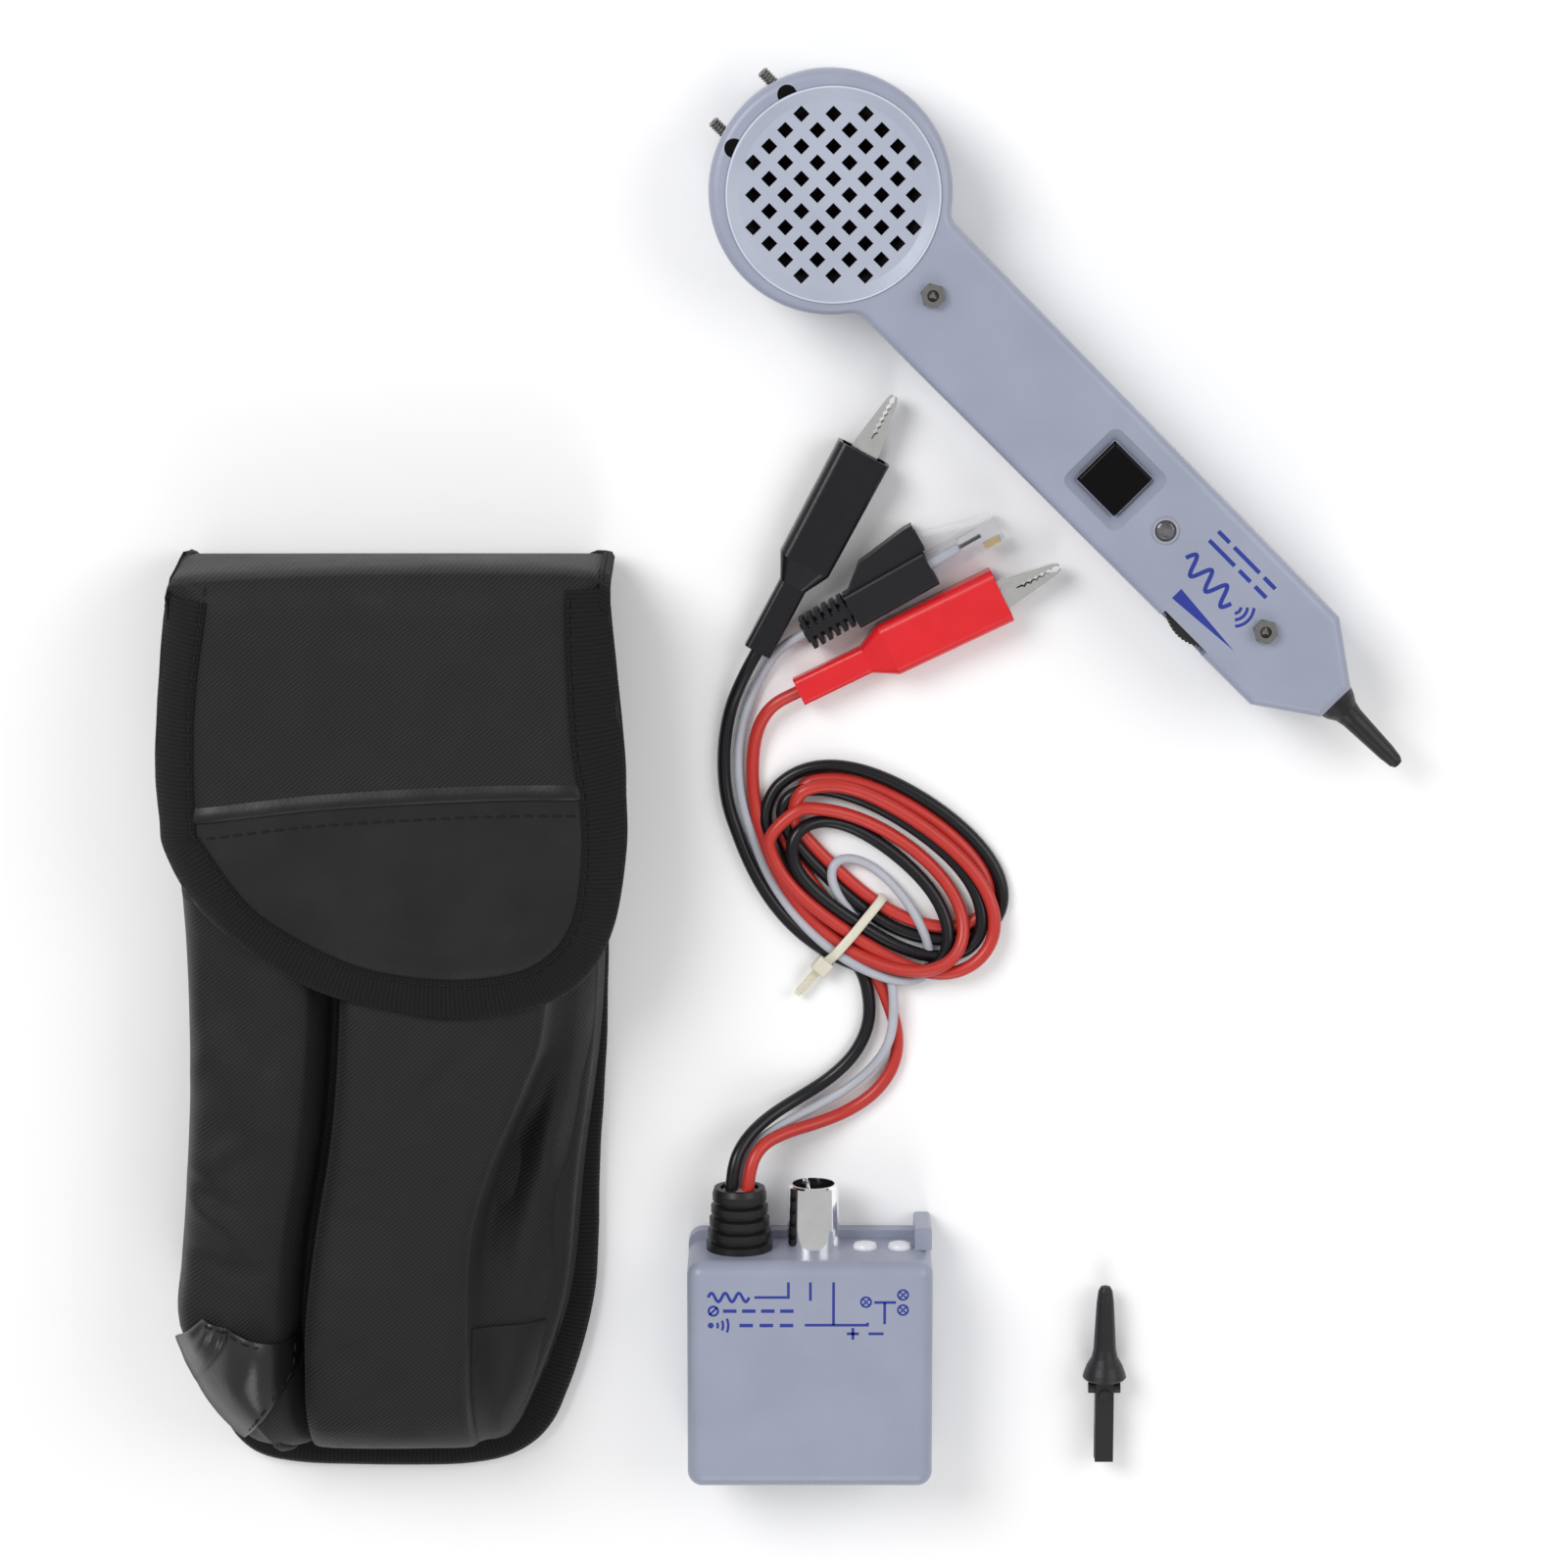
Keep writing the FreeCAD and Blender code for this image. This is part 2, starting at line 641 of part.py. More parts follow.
def tip_shape(name):
    """Plastic tip along its first axis: round blade end at 0, dome, lugs, forked square shank."""
    dome = size("tip_dome")
    dome_radius = size("tip_dome_radius")
    length = size("tip_length")
    outline = [(0, 0), (1.3, 0.35), (1.95, 1.5), (2.4, 5.0), (3.1, 18.0), (3.6, 20.4), (4.9, 22.6)]
    outline += [(dome_radius - 0.35, 24.6), (dome_radius, dome - 0.6), (dome_radius - 0.5, dome), (0, dome)]
    blade = place(turned(f"{name}_blade", outline), (0, 0, 0), 90, Vec(0, 1, 0))
    shank_half = size("tip_shank") / 2
    shank_at = (dome - 2, -shank_half, -shank_half)
    shank = box(f"{name}_shank", shank_at, length - dome + 2, "Kit.tip_shank", "Kit.tip_shank")
    lug = rod(f"{name}_lugs", (dome + 2.6, -4.4, 0), 1.5, 8.8, -90, Vec(1, 0, 0))
    knob = rod(f"{name}_knob", (dome + 4.2, 0, -3.2), 1.6, 6.4)
    slot_at = (length - size("tip_slot_depth"), -4, -size("tip_slot") / 2)
    slot = box(f"{name}_slot", slot_at, 20, 8, "Kit.tip_slot")
    return cut(f"{name}_cut", fuse(f"{name}_whole", blade, shank, lug, knob), slot)


def tip_contact():
    """Brass pick-up blade that stands on the board's edge and enters the tip's fork."""
    root = box("contact_root", (163.5, -6.0, 14.0), 0.8, 12.0, 1.6)
    blade = box("contact_blade", (164.2, -2.0, 14.45), 9.0, 4.0, 1.1)
    return fuse("contact_whole", root, blade)


def make_probe():
    turn = FreeCAD.Rotation(Z_AXIS, size("probe_turn"))
    home = FreeCAD.Placement(Vec(size("probe_x"), size("probe_y"), 0), turn)
    battery_at = (43.4, -13.25, 3.2)
    keep("probe_front_shell", front_shell(), home)
    keep("probe_rear_shell", rear_shell(), home)
    keep("speaker_grille", speaker_grille(), home)
    keep("speaker", speaker(), home)
    keep("probe_circuit_board", probe_circuit_board(), home)
    keep("probe_battery", battery("probe_battery", battery_at), home)
    keep("probe_battery_snap", battery_snap("probe_snap", battery_at), home)
    keep("power_button", power_button(), home)
    keep("button_switch", switch_base(), home)
    keep("volume_wheel", volume_wheel(), home)
    keep("volume_control", volume_pot(), home)
    keep("indicator_bezel", indicator_bezel(), home)
    keep("indicator_lamp", indicator_lamp(), home)
    keep("housing_screws", housing_screws(), home)
    keep("housing_nuts", housing_nuts(), home)
    keep("terminal_studs", terminal_studs(), home)
    keep("terminal_plugs", terminal_plugs(), home)
    keep("tip_contact", tip_contact(), home)
    # The fitted tip points away from the head, so its shank runs back into the nose
    fitted = FreeCAD.Placement(Vec(214.1, 0, 15.0), FreeCAD.Rotation(Z_AXIS, 180))
    keep("probe_tip", tip_shape("probe_tip"), home.multiply(fitted))


def make_spare_tip():
    upright_turn = FreeCAD.Rotation(Z_AXIS, -90)
    at = Vec(size("spare_x"), size("spare_foot") + size("tip_length"), size("tip_dome_radius"))
    keep("spare_tip", tip_shape("spare_tip"), FreeCAD.Placement(at, upright_turn))


# ---------------------------------------------------------------- tone generator


def generator_front_shell():
    """Tub with the face, four sides and the top; its open back takes the cover."""
    body = new_body("generator_tub")
    sketch = new_sketch(body, "tub_outline", "Kit.cover_deep")
    rectangle(sketch, "Kit.box_wide", "Kit.box_high")
    block = pad(body, "tub_block", sketch, "Kit.box_deep - Kit.cover_deep")
    doc.recompute()
    edges = list(enumerate(block.Shape.Edges, start=1))
    face = size("box_deep")
    chosen = [f"Edge{number}" for number, edge in edges if upright(edge) or at_height(edge, face)]
    rounded = body.newObject("PartDesign::Fillet", "tub_rounds")
    rounded.Base = (block, chosen)
    rounded.setExpression("Radius", "Kit.box_round")
    inner = new_sketch(body, "tub_hollow", "Kit.cover_deep")
    rectangle(inner, "Kit.box_wide - 2 * Kit.box_wall", "Kit.box_high - 2 * Kit.box_wall", "Kit.box_wall")
    pocket(body, "tub_inside", inner, "Kit.box_deep - Kit.cover_deep - Kit.box_wall", upwards=True)
    posts = []
    bores = []
    for number, (x, y) in enumerate(cover_screw_places()):
        posts.append(rod(f"tub_post_{number}", (x, y, "Kit.cover_deep"), 2.4, 23.5))
        bores.append(rod(f"tub_post_bore_{number}", (x, y, 0), 1.27, 18.0))
    # Openings of the top wall for the gland, the switch and the two lamps
    top = size("box_high")
    depth = size("top_depth")
    for word, inset, radius in top_openings():
        bores.append(rod(f"top_hole_{word}", (inset, top - 4, depth), radius, 8, -90, Vec(1, 0, 0)))
    return cut("generator_front_cut", fuse("generator_front_solid", body, *posts), *bores)


def rectangle(sketch, wide, high, corner=0.0):
    """A rectangle from a corner on the sketch's origin diagonal; both sides are bound."""
    corners = [Vec(1, 1, 0), Vec(41, 1, 0), Vec(41, 41, 0), Vec(1, 41, 0)]
    sides = [(Part.LineSegment(a, b), 1, 2) for a, b in zip(corners, corners[1:] + corners[:1])]
    numbers = chain(sketch, sides)
    for side, kind in zip(numbers, ("Horizontal", "Vertical", "Horizontal", "Vertical")):
        sketch.addConstraint(Sketcher.Constraint(kind, side))
    dimension(sketch, "wide", "DistanceX", (numbers[0], 1, numbers[0], 2, 40.0), wide)
    dimension(sketch, "high", "DistanceY", (numbers[1], 1, numbers[1], 2, 40.0), high)
    dimension(sketch, "left", "DistanceX", (-1, 1, numbers[0], 1, 1.0), corner)
    dimension(sketch, "foot", "DistanceY", (-1, 1, numbers[0], 1, 1.0), corner)


def cover_screw_places():
    wide = size("box_wide")
    high = size("box_high")
    inset = size("post_inset")
    return [(x, y) for y in (inset, high - inset) for x in (inset, wide - inset)]


def top_openings():
    """Hole name, distance from the left side and radius, for each piece in the top wall."""
    yield "gland", size("gland_in"), 6.03
    yield "collar", size("collar_in"), 5.03
    yield "lamp_one", size("lamp_one_in"), 2.53
    yield "lamp_two", size("lamp_two_in"), 2.53


def generator_back_cover():
    """Flat cover, taller than the tub at the top as a lip, with an ear at its right end."""
    lip = 2.2
    plate = box("cover_plate", (0, 0, 0), "Kit.box_wide", f"Kit.box_high + {lip}", "Kit.cover_deep")
    rounded = round_edges("cover_corners", plate, size("box_round"), upright)
    soft = round_edges("cover_soft", rounded, 1.2, lambda edge: at_height(edge, 0.0))
    ear_at = ("Kit.box_wide - 4.6", "Kit.box_high - 1.0", 1.5)
    ear = box("cover_ear", ear_at, 4.6, 7.2, 16.5)
    ear_soft = round_edges("cover_ear_soft", ear, 1.0, lambda edge: edge.BoundBox.ZLength > 10)
    trim = box("ear_trim", ("Kit.box_wide - 6", "Kit.box_high - 2.0", "Kit.cover_deep"), 8, 2.02, 12)
    ear_cut = cut("cover_ear_cut", ear_soft, trim)
    hollow = box("cover_hollow", ("Kit.box_wall", "Kit.box_wall", 2.0),
                 "Kit.box_wide - 2 * Kit.box_wall", "Kit.box_high - 2 * Kit.box_wall", 6)
    posts = []
    bores = []
    for number, (x, y) in enumerate(cover_screw_places()):
        posts.append(rod(f"cover_post_{number}", (x, y, 1.0), 3.2, 5.0))
        bores.append(rod(f"cover_bore_{number}", (x, y, -1), 1.55, 12))
        bores.append(rod(f"cover_counterbore_{number}", (x, y, -1), 2.7, 3.2))
    shell = cut("cover_shell", fuse("cover_solid", soft, ear_cut), hollow)
    return cut("generator_cover_cut", fuse("cover_with_posts", shell, *posts), *bores)


def cover_screws():
    screws = []
    for number, place_xy in enumerate(cover_screw_places()):
        profile = [(0, 0.5), (1.8, 0.5), (2.5, 1.1), (2.5, 2.2), (1.25, 2.2), (1.25, 13.0), (0, 14.2)]
        screw = place(turned(f"cover_screw_{number}", profile), (*place_xy, 0))
        x, y = place_xy
        bars = [box(f"cross_{number}_{word}", (x - long / 2, y - wide / 2, 0), long, wide, 1.5)
                for word, long, wide in (("one", 3.0, 0.7), ("two", 0.7, 3.0))]
        screws.append(cut(f"cover_screw_cut_{number}", screw, *bars))
    return fuse("cover_screws_whole", *screws)


def generator_board():
    """Board behind the top wall, standing between the switch and the battery."""
    plate = box("tone_board_plate", (9.2, 36.0, 6.2), 47.6, 12.6, 1.6)
    chip = box("tone_chip", (24.0, 38.0, 7.8), 9.8, 6.4, 2.6)
    coil = rod("tone_coil", (44.0, 41.0, 7.8), 3.6, 5.0)
    return fuse("tone_board_whole", plate, chip, coil)


def lead_gland():
    """Ribbed rubber strain relief: five rings on a tapering neck, and a plug inside the wall."""
    reach = size("gland_reach")
    base = size("gland_radius")
    profile = [(0, -4.0), (6.5, -4.0), (6.5, -2.05), (6.0, -2.05), (6.0, 0.0)]
    rings = 5
    for ring in range(rings):
        foot = reach * ring / rings
        radius = base - 1.7 * ring / (rings - 1)
        profile += [(radius, foot + 0.02), (radius, foot + reach * 0.11)]
        profile += [(radius - 1.5, foot + reach * 0.14), (radius - 1.5, foot + reach * 0.2)]
    profile[-2:] = [(base - 2.2, reach), (5.2, reach), (5.2, reach - 2.0), (0, reach - 2.0)]
    return turned("gland_rings", profile)


def switch_collar():
    """Hollow chrome collar round the toggle lever, threaded through the top wall."""
    top = size("collar_reach")
    outer = size("collar_radius")
    profile = [(3.9, -4.0), (5.0, -4.0), (5.0, 0.0), (outer, 0.0), (outer, 1.2), (outer - 0.35, top - 0.5)]
    profile += [(outer - 0.8, top), (outer - 1.5, top), (outer - 1.6, 3.2), (3.9, 3.2)]
    return turned("collar_tube", profile)


def toggle_lever():
    """Tapered bat lever with the ball it pivots on, bored for the pivot's pin."""
    ball = 2.6
    profile = [(0, -ball), (1.9, -1.8), (ball, 0), (1.9, 1.8), (1.2, 3.0)]
    profile += [(1.75, 13.8), (1.2, 15.2), (0, 15.4)]
    bore = rod("lever_bore", (0, 4.0, 0), 0.5, 8.0, 90, Vec(1, 0, 0))
    return cut("lever_bored", turned("lever_bat", profile), bore)


def switch_body():
    block = box("switch_case", (-6.2, -6.2, -14.0), 12.4, 12.4, 9.8)
    socket = primitive("Sphere", "switch_socket", (0, 0, -3.2), Radius=2.68)
    neck = rod("switch_neck", (0, 0, -4.2), 3.8, 2.2)
    mouth = primitive("Cone", "switch_mouth", (0, 0, -3.2), Radius1=1.0, Radius2=4.4, Height=4.0)
    pins = [box(f"switch_pin_{n}", (offset - 0.4, -1.0, -17.0), 0.8, 2.0, 3.2)
            for n, offset in enumerate((-3.6, 0.0, 3.6))]
    return cut("switch_body_cut", fuse("switch_body_solid", block, neck, *pins), socket, mouth)


def line_lamps():
    lamps = []
    for word, inset in (("one", "lamp_one_in"), ("two", "lamp_two_in")):
        profile = [(0, -6.0), (1.2, -6.0), (1.2, -2.1), (2.5, -2.1), (2.5, 0.0), (3.3, 0.0)]
        profile += [(3.3, 0.5), (2.9, 1.25), (1.6, 1.6), (0, 1.7)]
        lamp = turned(f"line_lamp_{word}", profile)
        lamps.append(place(lamp, (inset_from(inset), 0, 0)))
    return fuse("line_lamps_whole", *lamps)


def inset_from(alias):
    return size(alias) - size("gland_in")


def make_generator():
    home = FreeCAD.Placement(Vec(size("generator_left"), size("generator_foot"), 0), FreeCAD.Rotation())
    keep("generator_front_shell", generator_front_shell(), home)
    keep("generator_back_cover", generator_back_cover(), home)
    keep("cover_screws", cover_screws(), home)
    keep("generator_board", generator_board(), home)
    battery_at = (8.0, 8.4, 7.6)
    keep("generator_battery", battery("tone_battery", battery_at), home)
    keep("generator_battery_snap", battery_snap("tone_snap", battery_at), home)
    # Pieces of the top wall are drawn about their own axis, which points out of the top
    outwards = FreeCAD.Rotation(Vec(1, 0, 0), -90)

    def on_top(alias, depth=0.0):
        at = Vec(size(alias), size("box_high") + depth, size("top_depth"))
        return home.multiply(FreeCAD.Placement(at, outwards))

    keep("lead_gland", lead_gland(), on_top("gland_in"))
    keep("switch_collar", switch_collar(), on_top("collar_in"))
    keep("switch_body", switch_body(), on_top("collar_in"))
    thrown = FreeCAD.Placement(Vec(), FreeCAD.Rotation(Vec(0, 1, 0), -size("lever_throw")))
    keep("toggle_lever", toggle_lever(), on_top("collar_in", -3.2).multiply(thrown))
    keep("line_lamps", line_lamps(), on_top("gland_in"))


# ---------------------------------------------------------------- clips and plug


def slab(name, corners, low, height):
    """A flat piece with straight edges, padded upwards from low."""
    body = new_body(name)
    sketch = new_sketch(body, f"{name}_outline", low)
    points = [Vec(x, y, 0) for x, y in corners]
    lines = [(Part.LineSegment(a, b), 1, 2) for a, b in zip(points, points[1:] + points[:1])]
    chain(sketch, lines)
    pad(body, f"{name}_pad", sketch, height)
    return body


def clip_boot(name):
    """Soft sleeve: square neck for the lead, sloping shoulders and a wide open mouth."""
    long = size("clip_boot")
    half = size("clip_wide") / 2
    thick = size("clip_thick") / 2
    neck = 3.8
    stations = [(0.0, neck, 3.4), (20.0, neck, 3.5), (26.5, half - 0.3, thick - 0.2), (long, half, thick)]

    def section(s, across, up, shrink):
        wide = across - shrink
        tall = up - shrink
        corner = min(wide, tall) * 0.45
        flat = Part.makePlane(2 * wide, 2 * tall, Vec(-wide, -tall, 0))
        block = flat.extrude(Vec(0, 0, 1))
        soft = block.makeFillet(corner, [edge for edge in block.Edges if upright(edge)])
        face = next(f for f in soft.Faces if f.BoundBox.ZMax < 1e-4)
        wire = face.OuterWire
        wire.Placement = FreeCAD.Placement(Vec(s, 0, 0), FreeCAD.Rotation(Vec(1, 1, 1), 120))
        return wire

    outer = Part.makeLoft([section(*station, 0.0) for station in stations], True, True)
    inner_stations = [(22.0, 4.6, 3.9), (28.0, half, thick), (long + 1, half, thick)]
    inner = Part.makeLoft([section(*station, 1.1) for station in inner_stations], True, True)
    return cut(f"{name}_boot_cut", solid(f"{name}_boot_outer", outer), solid(f"{name}_boot_inner", inner))


def clip_jaw(name, side):
    """One jaw's outer block, the room in its channel and its pivot hole, before they are cut."""
    pivot = size("clip_pivot")
    tip = size("clip_long")
    outer = [(42.0, 5.4), (pivot - 6, 3.9), (pivot, 3.7), (tip - 1.5, 1.5), (tip, 0.9), (tip, 0.15)]
    teeth = 6
    pitch = (tip - pivot - 4.0) / teeth
    for tooth in range(teeth):
        foot = tip - 0.6 - tooth * pitch
        outer += [(foot - pitch * 0.5, 0.75), (foot - pitch, 0.15)]
    outer += [(pivot - 3.5, 0.15), (pivot - 6, 2.9), (42.0, 4.5)]
    flip = 1 if side == "moving" else -1
    corners = [(s, flip * t) for s, t in outer]
    block = slab(f"{name}_{side}_block", corners, -2.6, 5.2)
    height = 1.7 if side == "moving" else 2.2
    inside = [(30.0, 3.1), (pivot - 5, 3.1), (pivot, 3.0)]
    inside += [(tip - 3.0, 0.95), (tip - 3.0, -0.6), (30.0, -0.6)]
    hollow = slab(f"{name}_{side}_hollow", [(s, flip * t) for s, t in inside], -height, 2 * height)
    pivot_hole = rod(f"{name}_{side}_pivot_hole", (pivot, 0, -4), 1.05, 8)
    return block, hollow, pivot_hole


def jaw_pair(name):
    """Both jaws; their ears lie on each other along the pin, the moving pair inside."""
    pivot = size("clip_pivot")
    made = {}
    for side, flip, low, high in (("fixed", -1, 1.95, 2.6), ("moving", 1, 1.2, 1.85)):
        block, hollow, hole = clip_jaw(name, side)
        ears = []
        for word, foot in (("upper", low), ("lower", -high)):
            ears.append(rod(f"{name}_{side}_{word}_ear", (pivot, 0, foot), 2.3, high - low))
        # The moving jaw is one sheet narrower, so its channel sits between the fixed ears
        limit = box(f"{name}_{side}_limit", (30, -9, -high), 60, 18, 2 * high)
        shell = common(f"{name}_{side}_sheet", cut(f"{name}_{side}_channel", block, hollow), limit)
        solid_jaw = fuse(f"{name}_{side}_with_ears", shell, *ears)
        made[side] = cut(f"{name}_{side}_jaw", solid_jaw, hole)
    return made["fixed"], made["moving"]


def clip_spring(name):
    """Coil of the torsion spring round the pivot pin, with one leg on the fixed tail."""
    pivot = size("clip_pivot")
    coil = rod(f"{name}_coil", (pivot, 0, -0.95), 1.75, 1.9)
    bore = rod(f"{name}_coil_bore", (pivot, 0, -2), 1.02, 4)
    return cut(f"{name}_spring_cut", coil, bore)


def clip_pin(name):
    pivot = size("clip_pivot")
    shank = rod(f"{name}_pin_shank", (pivot, 0, -2.65), 1.0, 5.3)
    heads = [rod(f"{name}_pin_head_{word}", (pivot, 0, foot), 1.5, 0.45)
             for word, foot in (("upper", 2.65), ("lower", -3.1))]
    return fuse(f"{name}_pin_whole", shank, *heads)


def make_clip(name, x, y, turn):
    home = FreeCAD.Placement(Vec(x, y, size("clip_height")), FreeCAD.Rotation(Z_AXIS, turn))
    keep(f"{name}_clip_boot", clip_boot(name), home)
    fixed, moving = jaw_pair(name)
    keep(f"{name}_clip_fixed_jaw", fixed, home)
    keep(f"{name}_clip_moving_jaw", moving, home)
    keep(f"{name}_clip_spring", clip_spring(name), home)
    keep(f"{name}_clip_pin", clip_pin(name), home)


def plug_boot():
    """Ribbed tail, square body and the raised hood over the latch."""
    body = box("plug_boot_body", (14.0, -5.6, -5.6), 24.0, 9.9, 11.2)
    soft = round_edges("plug_boot_soft", body, 1.2, lambda edge: edge.BoundBox.XLength > 20)
    hood_corners = [(15.5, 4.2), (22.0, 9.6), (36.5, 11.6), (39.0, 11.6), (39.0, 4.2)]
    hood = slab("plug_hood", hood_corners, -4.2, 8.4)
    hood_room = slab("plug_hood_room", [(24.0, 4.3), (30.0, 9.4), (45.0, 10.6), (45.0, 4.3)], -3.3, 6.6)
    core = rod("plug_tail_core", (0.0, 0, 0), 2.9, 15.0, 90, Vec(0, 1, 0))
    rings = [box(f"plug_rib_{n}", (0.6 + n * 2.3, -4.4, -4.4), 1.2, 8.8, 8.8) for n in range(6)]
    spine = box("plug_spine", (0.6, -1.2, -4.4), 14, 2.4, 8.8)
    mouth = box("plug_mouth", (36.0, -4.4, -4.83), 10, 8.3, 9.66)
    return cut("plug_boot_cut", fuse("plug_boot_whole", soft, hood, core, spine, *rings), hood_room, mouth)


def plug_body():
    """Clear body with the contact slots at its nose."""
    block = box("plug_block", (36.05, -3.9, -4.8), 23.0, 6.6, 9.6)
    soft = round_edges("plug_block_soft", block, 0.5, lambda edge: edge.BoundBox.XLength > 15)
    slots = [box(f"contact_slot_{n}", (53.0, -4.5, -1.83 + n * 1.02), 7, 2.3, 0.62) for n in range(4)]
    tunnel = box("cable_tunnel", (34.0, -1.6, -2.6), 14.0, 3.2, 5.2)
    return cut("plug_body_cut", soft, tunnel, *slots)


def plug_contacts():
    blades = [box(f"contact_{n}", (53.2, -3.8, -1.78 + n * 1.02), 4.6, 1.55, 0.52) for n in range(4)]
    return fuse("plug_contacts_whole", *blades)


def plug_latch():
    """Springy tongue, hinged at the nose and rising towards the hood."""
    corners = [(56.6, 3.0), (58.6, 3.0), (58.6, 3.9), (52.0, 5.4), (40.4, 8.6), (40.0, 7.6), (51.0, 4.2)]
    root = rod("latch_root", (58.6, 3.45, -3.0), 0.45, 6.0)
    return fuse("latch_whole", slab("latch_tongue", corners, -3.0, 6.0), root)


PLUG_PLACE = (5.2, 40.5, 5.7)
PLUG_TURN = 29.6


def make_plug():
    home = FreeCAD.Placement(Vec(*PLUG_PLACE), FreeCAD.Rotation(Z_AXIS, PLUG_TURN))
    keep("plug_boot", plug_boot(), home)
    keep("plug_body", plug_body(), home)
    keep("plug_contacts", plug_contacts(), home)
    keep("plug_latch", plug_latch(), home)


def make_clips():
    make_clip("black", -7.3, 36.0, 62.0)
    make_clip("red", 3.7, 25.0, 26.0)


# ---------------------------------------------------------------- test leads

# Points of each lead where it is not coiled, chosen by hand: along the floor, with a long low
# hump where the flat lead crosses over the red one.
LEAD_ROUTES = {
    "black_lead_lower": [
        (-14.5, -111, 16.6), (-14.3, -103.4, 16.4), (-11, -96.6, 13.2), (-4.6, -91.4, 8.2),
        (3.6, -87.2, 3.9), (12.4, -82.2, 1.75), (19.6, -75, 1.75), (23.4, -65.6, 1.75),
        (22.8, -55.6, 1.75), (19, -47, 1.75)],
    "grey_lead_lower": [
        (-12.3, -111, 12.8), (-12.1, -104, 12.6), (-8, -97.8, 10.6), (-0.4, -93.6, 6.8),
        (8.6, -89.6, 3.4), (17.6, -84.6, 2.2), (25, -77.6, 3.6), (29.2, -69.4, 5.4),
        (30.4, -60.4, 5.4), (28.6, -51.5, 4.6)],
    "red_lead_lower": [
        (-10.1, -111, 16.4), (-9.8, -104, 16.2), (-6.6, -97.8, 14), (0.2, -95.2, 10),
        (8.4, -94, 5.4), (17, -91.4, 2.2), (24.8, -86.2, 1.75), (30, -78.4, 1.75),
        (30.8, -69.4, 1.75), (27.8, -60.6, 1.75), (25.6, -52, 1.75)],
    "black_lead_upper": [
        (-3.2, -27.5, 1.75), (-11.2, -17.5, 1.75), (-15.9, -5.5, 1.75), (-16.7, 7.5, 1.75),
        (-14.9, 19.5, 2.6), (-11.2, 28.7, 5.4), (-7.3, 36, 6.2)],
    "grey_lead_upper": [
        (-1.6, -29.5, 1.4), (-7.6, -17.5, 1.4), (-11.9, -5.5, 1.4), (-12.8, 7, 1.4),
        (-10.6, 18.5, 1.4), (-6.6, 28.5, 1.4), (-1.4, 36.5, 3.2), (5.2, 40.5, 5.7)],
    "red_lead_upper": [
        (0.6, -29.5, 1.75), (-5.2, -17.5, 1.75), (-8.4, -6, 1.75), (-8.9, 5, 2.2),
        (-7.6, 14.6, 4), (-3.6, 21.4, 6), (3.7, 25, 6.2)],
}


def tube_path(points):
    """Straight runs joined by tangent arcs, each as large as its two runs allow."""
    nodes = [Vec(*point) for point in points]
    edges = []
    radii = []
    start = nodes[0]
    for before, corner, after in zip(nodes, nodes[1:], nodes[2:]):
        arriving = (corner - before).normalize()
        leaving = (after - corner).normalize()
        turn = arriving.getAngle(leaving)
        shorter = min((corner - before).Length, (after - corner).Length)
        setback = 0.45 * shorter
        radius = setback / tan(turn / 2)
        first = corner - arriving * setback
        last = corner + leaving * setback
        bisector = (leaving - arriving).normalize()
        centre = corner + bisector * (radius / cos(turn / 2))
        middle = centre - bisector * radius
        edges.append(Part.LineSegment(start, first).toShape())
        edges.append(Part.Arc(first, middle, last).toShape())
        radii.append(radius)
        start = last
    edges.append(Part.LineSegment(start, nodes[-1]).toShape())
    return Part.Wire(edges), min(radii)


def lead_tube(name, radius):
    points = LEAD_ROUTES[name]
    path, tightest = tube_path(points)
    heading = (Vec(*points[1]) - Vec(*points[0])).normalize()
    circle = Part.Circle(Vec(*points[0]), heading, radius)
    section = Part.Wire([circle.toShape()])
    tube = path.makePipeShell([section], True, True)
    expected = pi * radius ** 2 * path.Length
    print(f"{name}: length {path.Length:.1f}, tightest radius {tightest:.1f}, "
          f"volume ratio {tube.Volume / expected:.4f}")
    return solid(f"{name}_tube", tube)


COIL_CENTRE = (24.6, -25.8)
COIL_TURN = -36.0
COIL_OUTER = (40.0, 27.0)
COIL_INNER = (21.0, 8.0)
COIL_TOP = 10.4


def coil_ring():
    """Flat oval ring: the outer shape of the three leads' loops lying on each other."""
    turn = FreeCAD.Rotation(Z_AXIS, COIL_TURN)
    rings = []
    for long, short in (COIL_OUTER, COIL_INNER):
        oval = Part.Ellipse(Vec(0, 0, 0), long, short)
        face = Part.Face(Part.Wire([oval.toShape()]))
        rings.append(face.extrude(Vec(0, 0, COIL_TOP)))
    ring = rings[0].cut(rings[1])
    soft = ring.makeFillet(2.4, [edge for edge in ring.Edges if at_height(edge, COIL_TOP)])
    item = solid("coil_ring", soft)
    item.Placement = FreeCAD.Placement(Vec(*COIL_CENTRE, 0), turn)
    return item


def cable_tie():
    """Strap round the bundle, square head outside the coil and a short cut tail."""
    outer = rounded_block("tie_strap", (-11.4, -1.25, 0), 22.0, 2.5, 12.6, 0.3)
    room = box("tie_room", (-10.4, -3, 1.0), 20.0, 6, 10.6)
    head = rounded_block("tie_head", (-15.6, -2.2, 1.2), 4.6, 4.4, 4.4, 0.5)
    tail = box("tie_tail", (-19.4, -1.2, 2.6), 4.4, 2.4, 1.1)
    return fuse("tie_whole", cut("tie_loop", outer, room), head, tail)


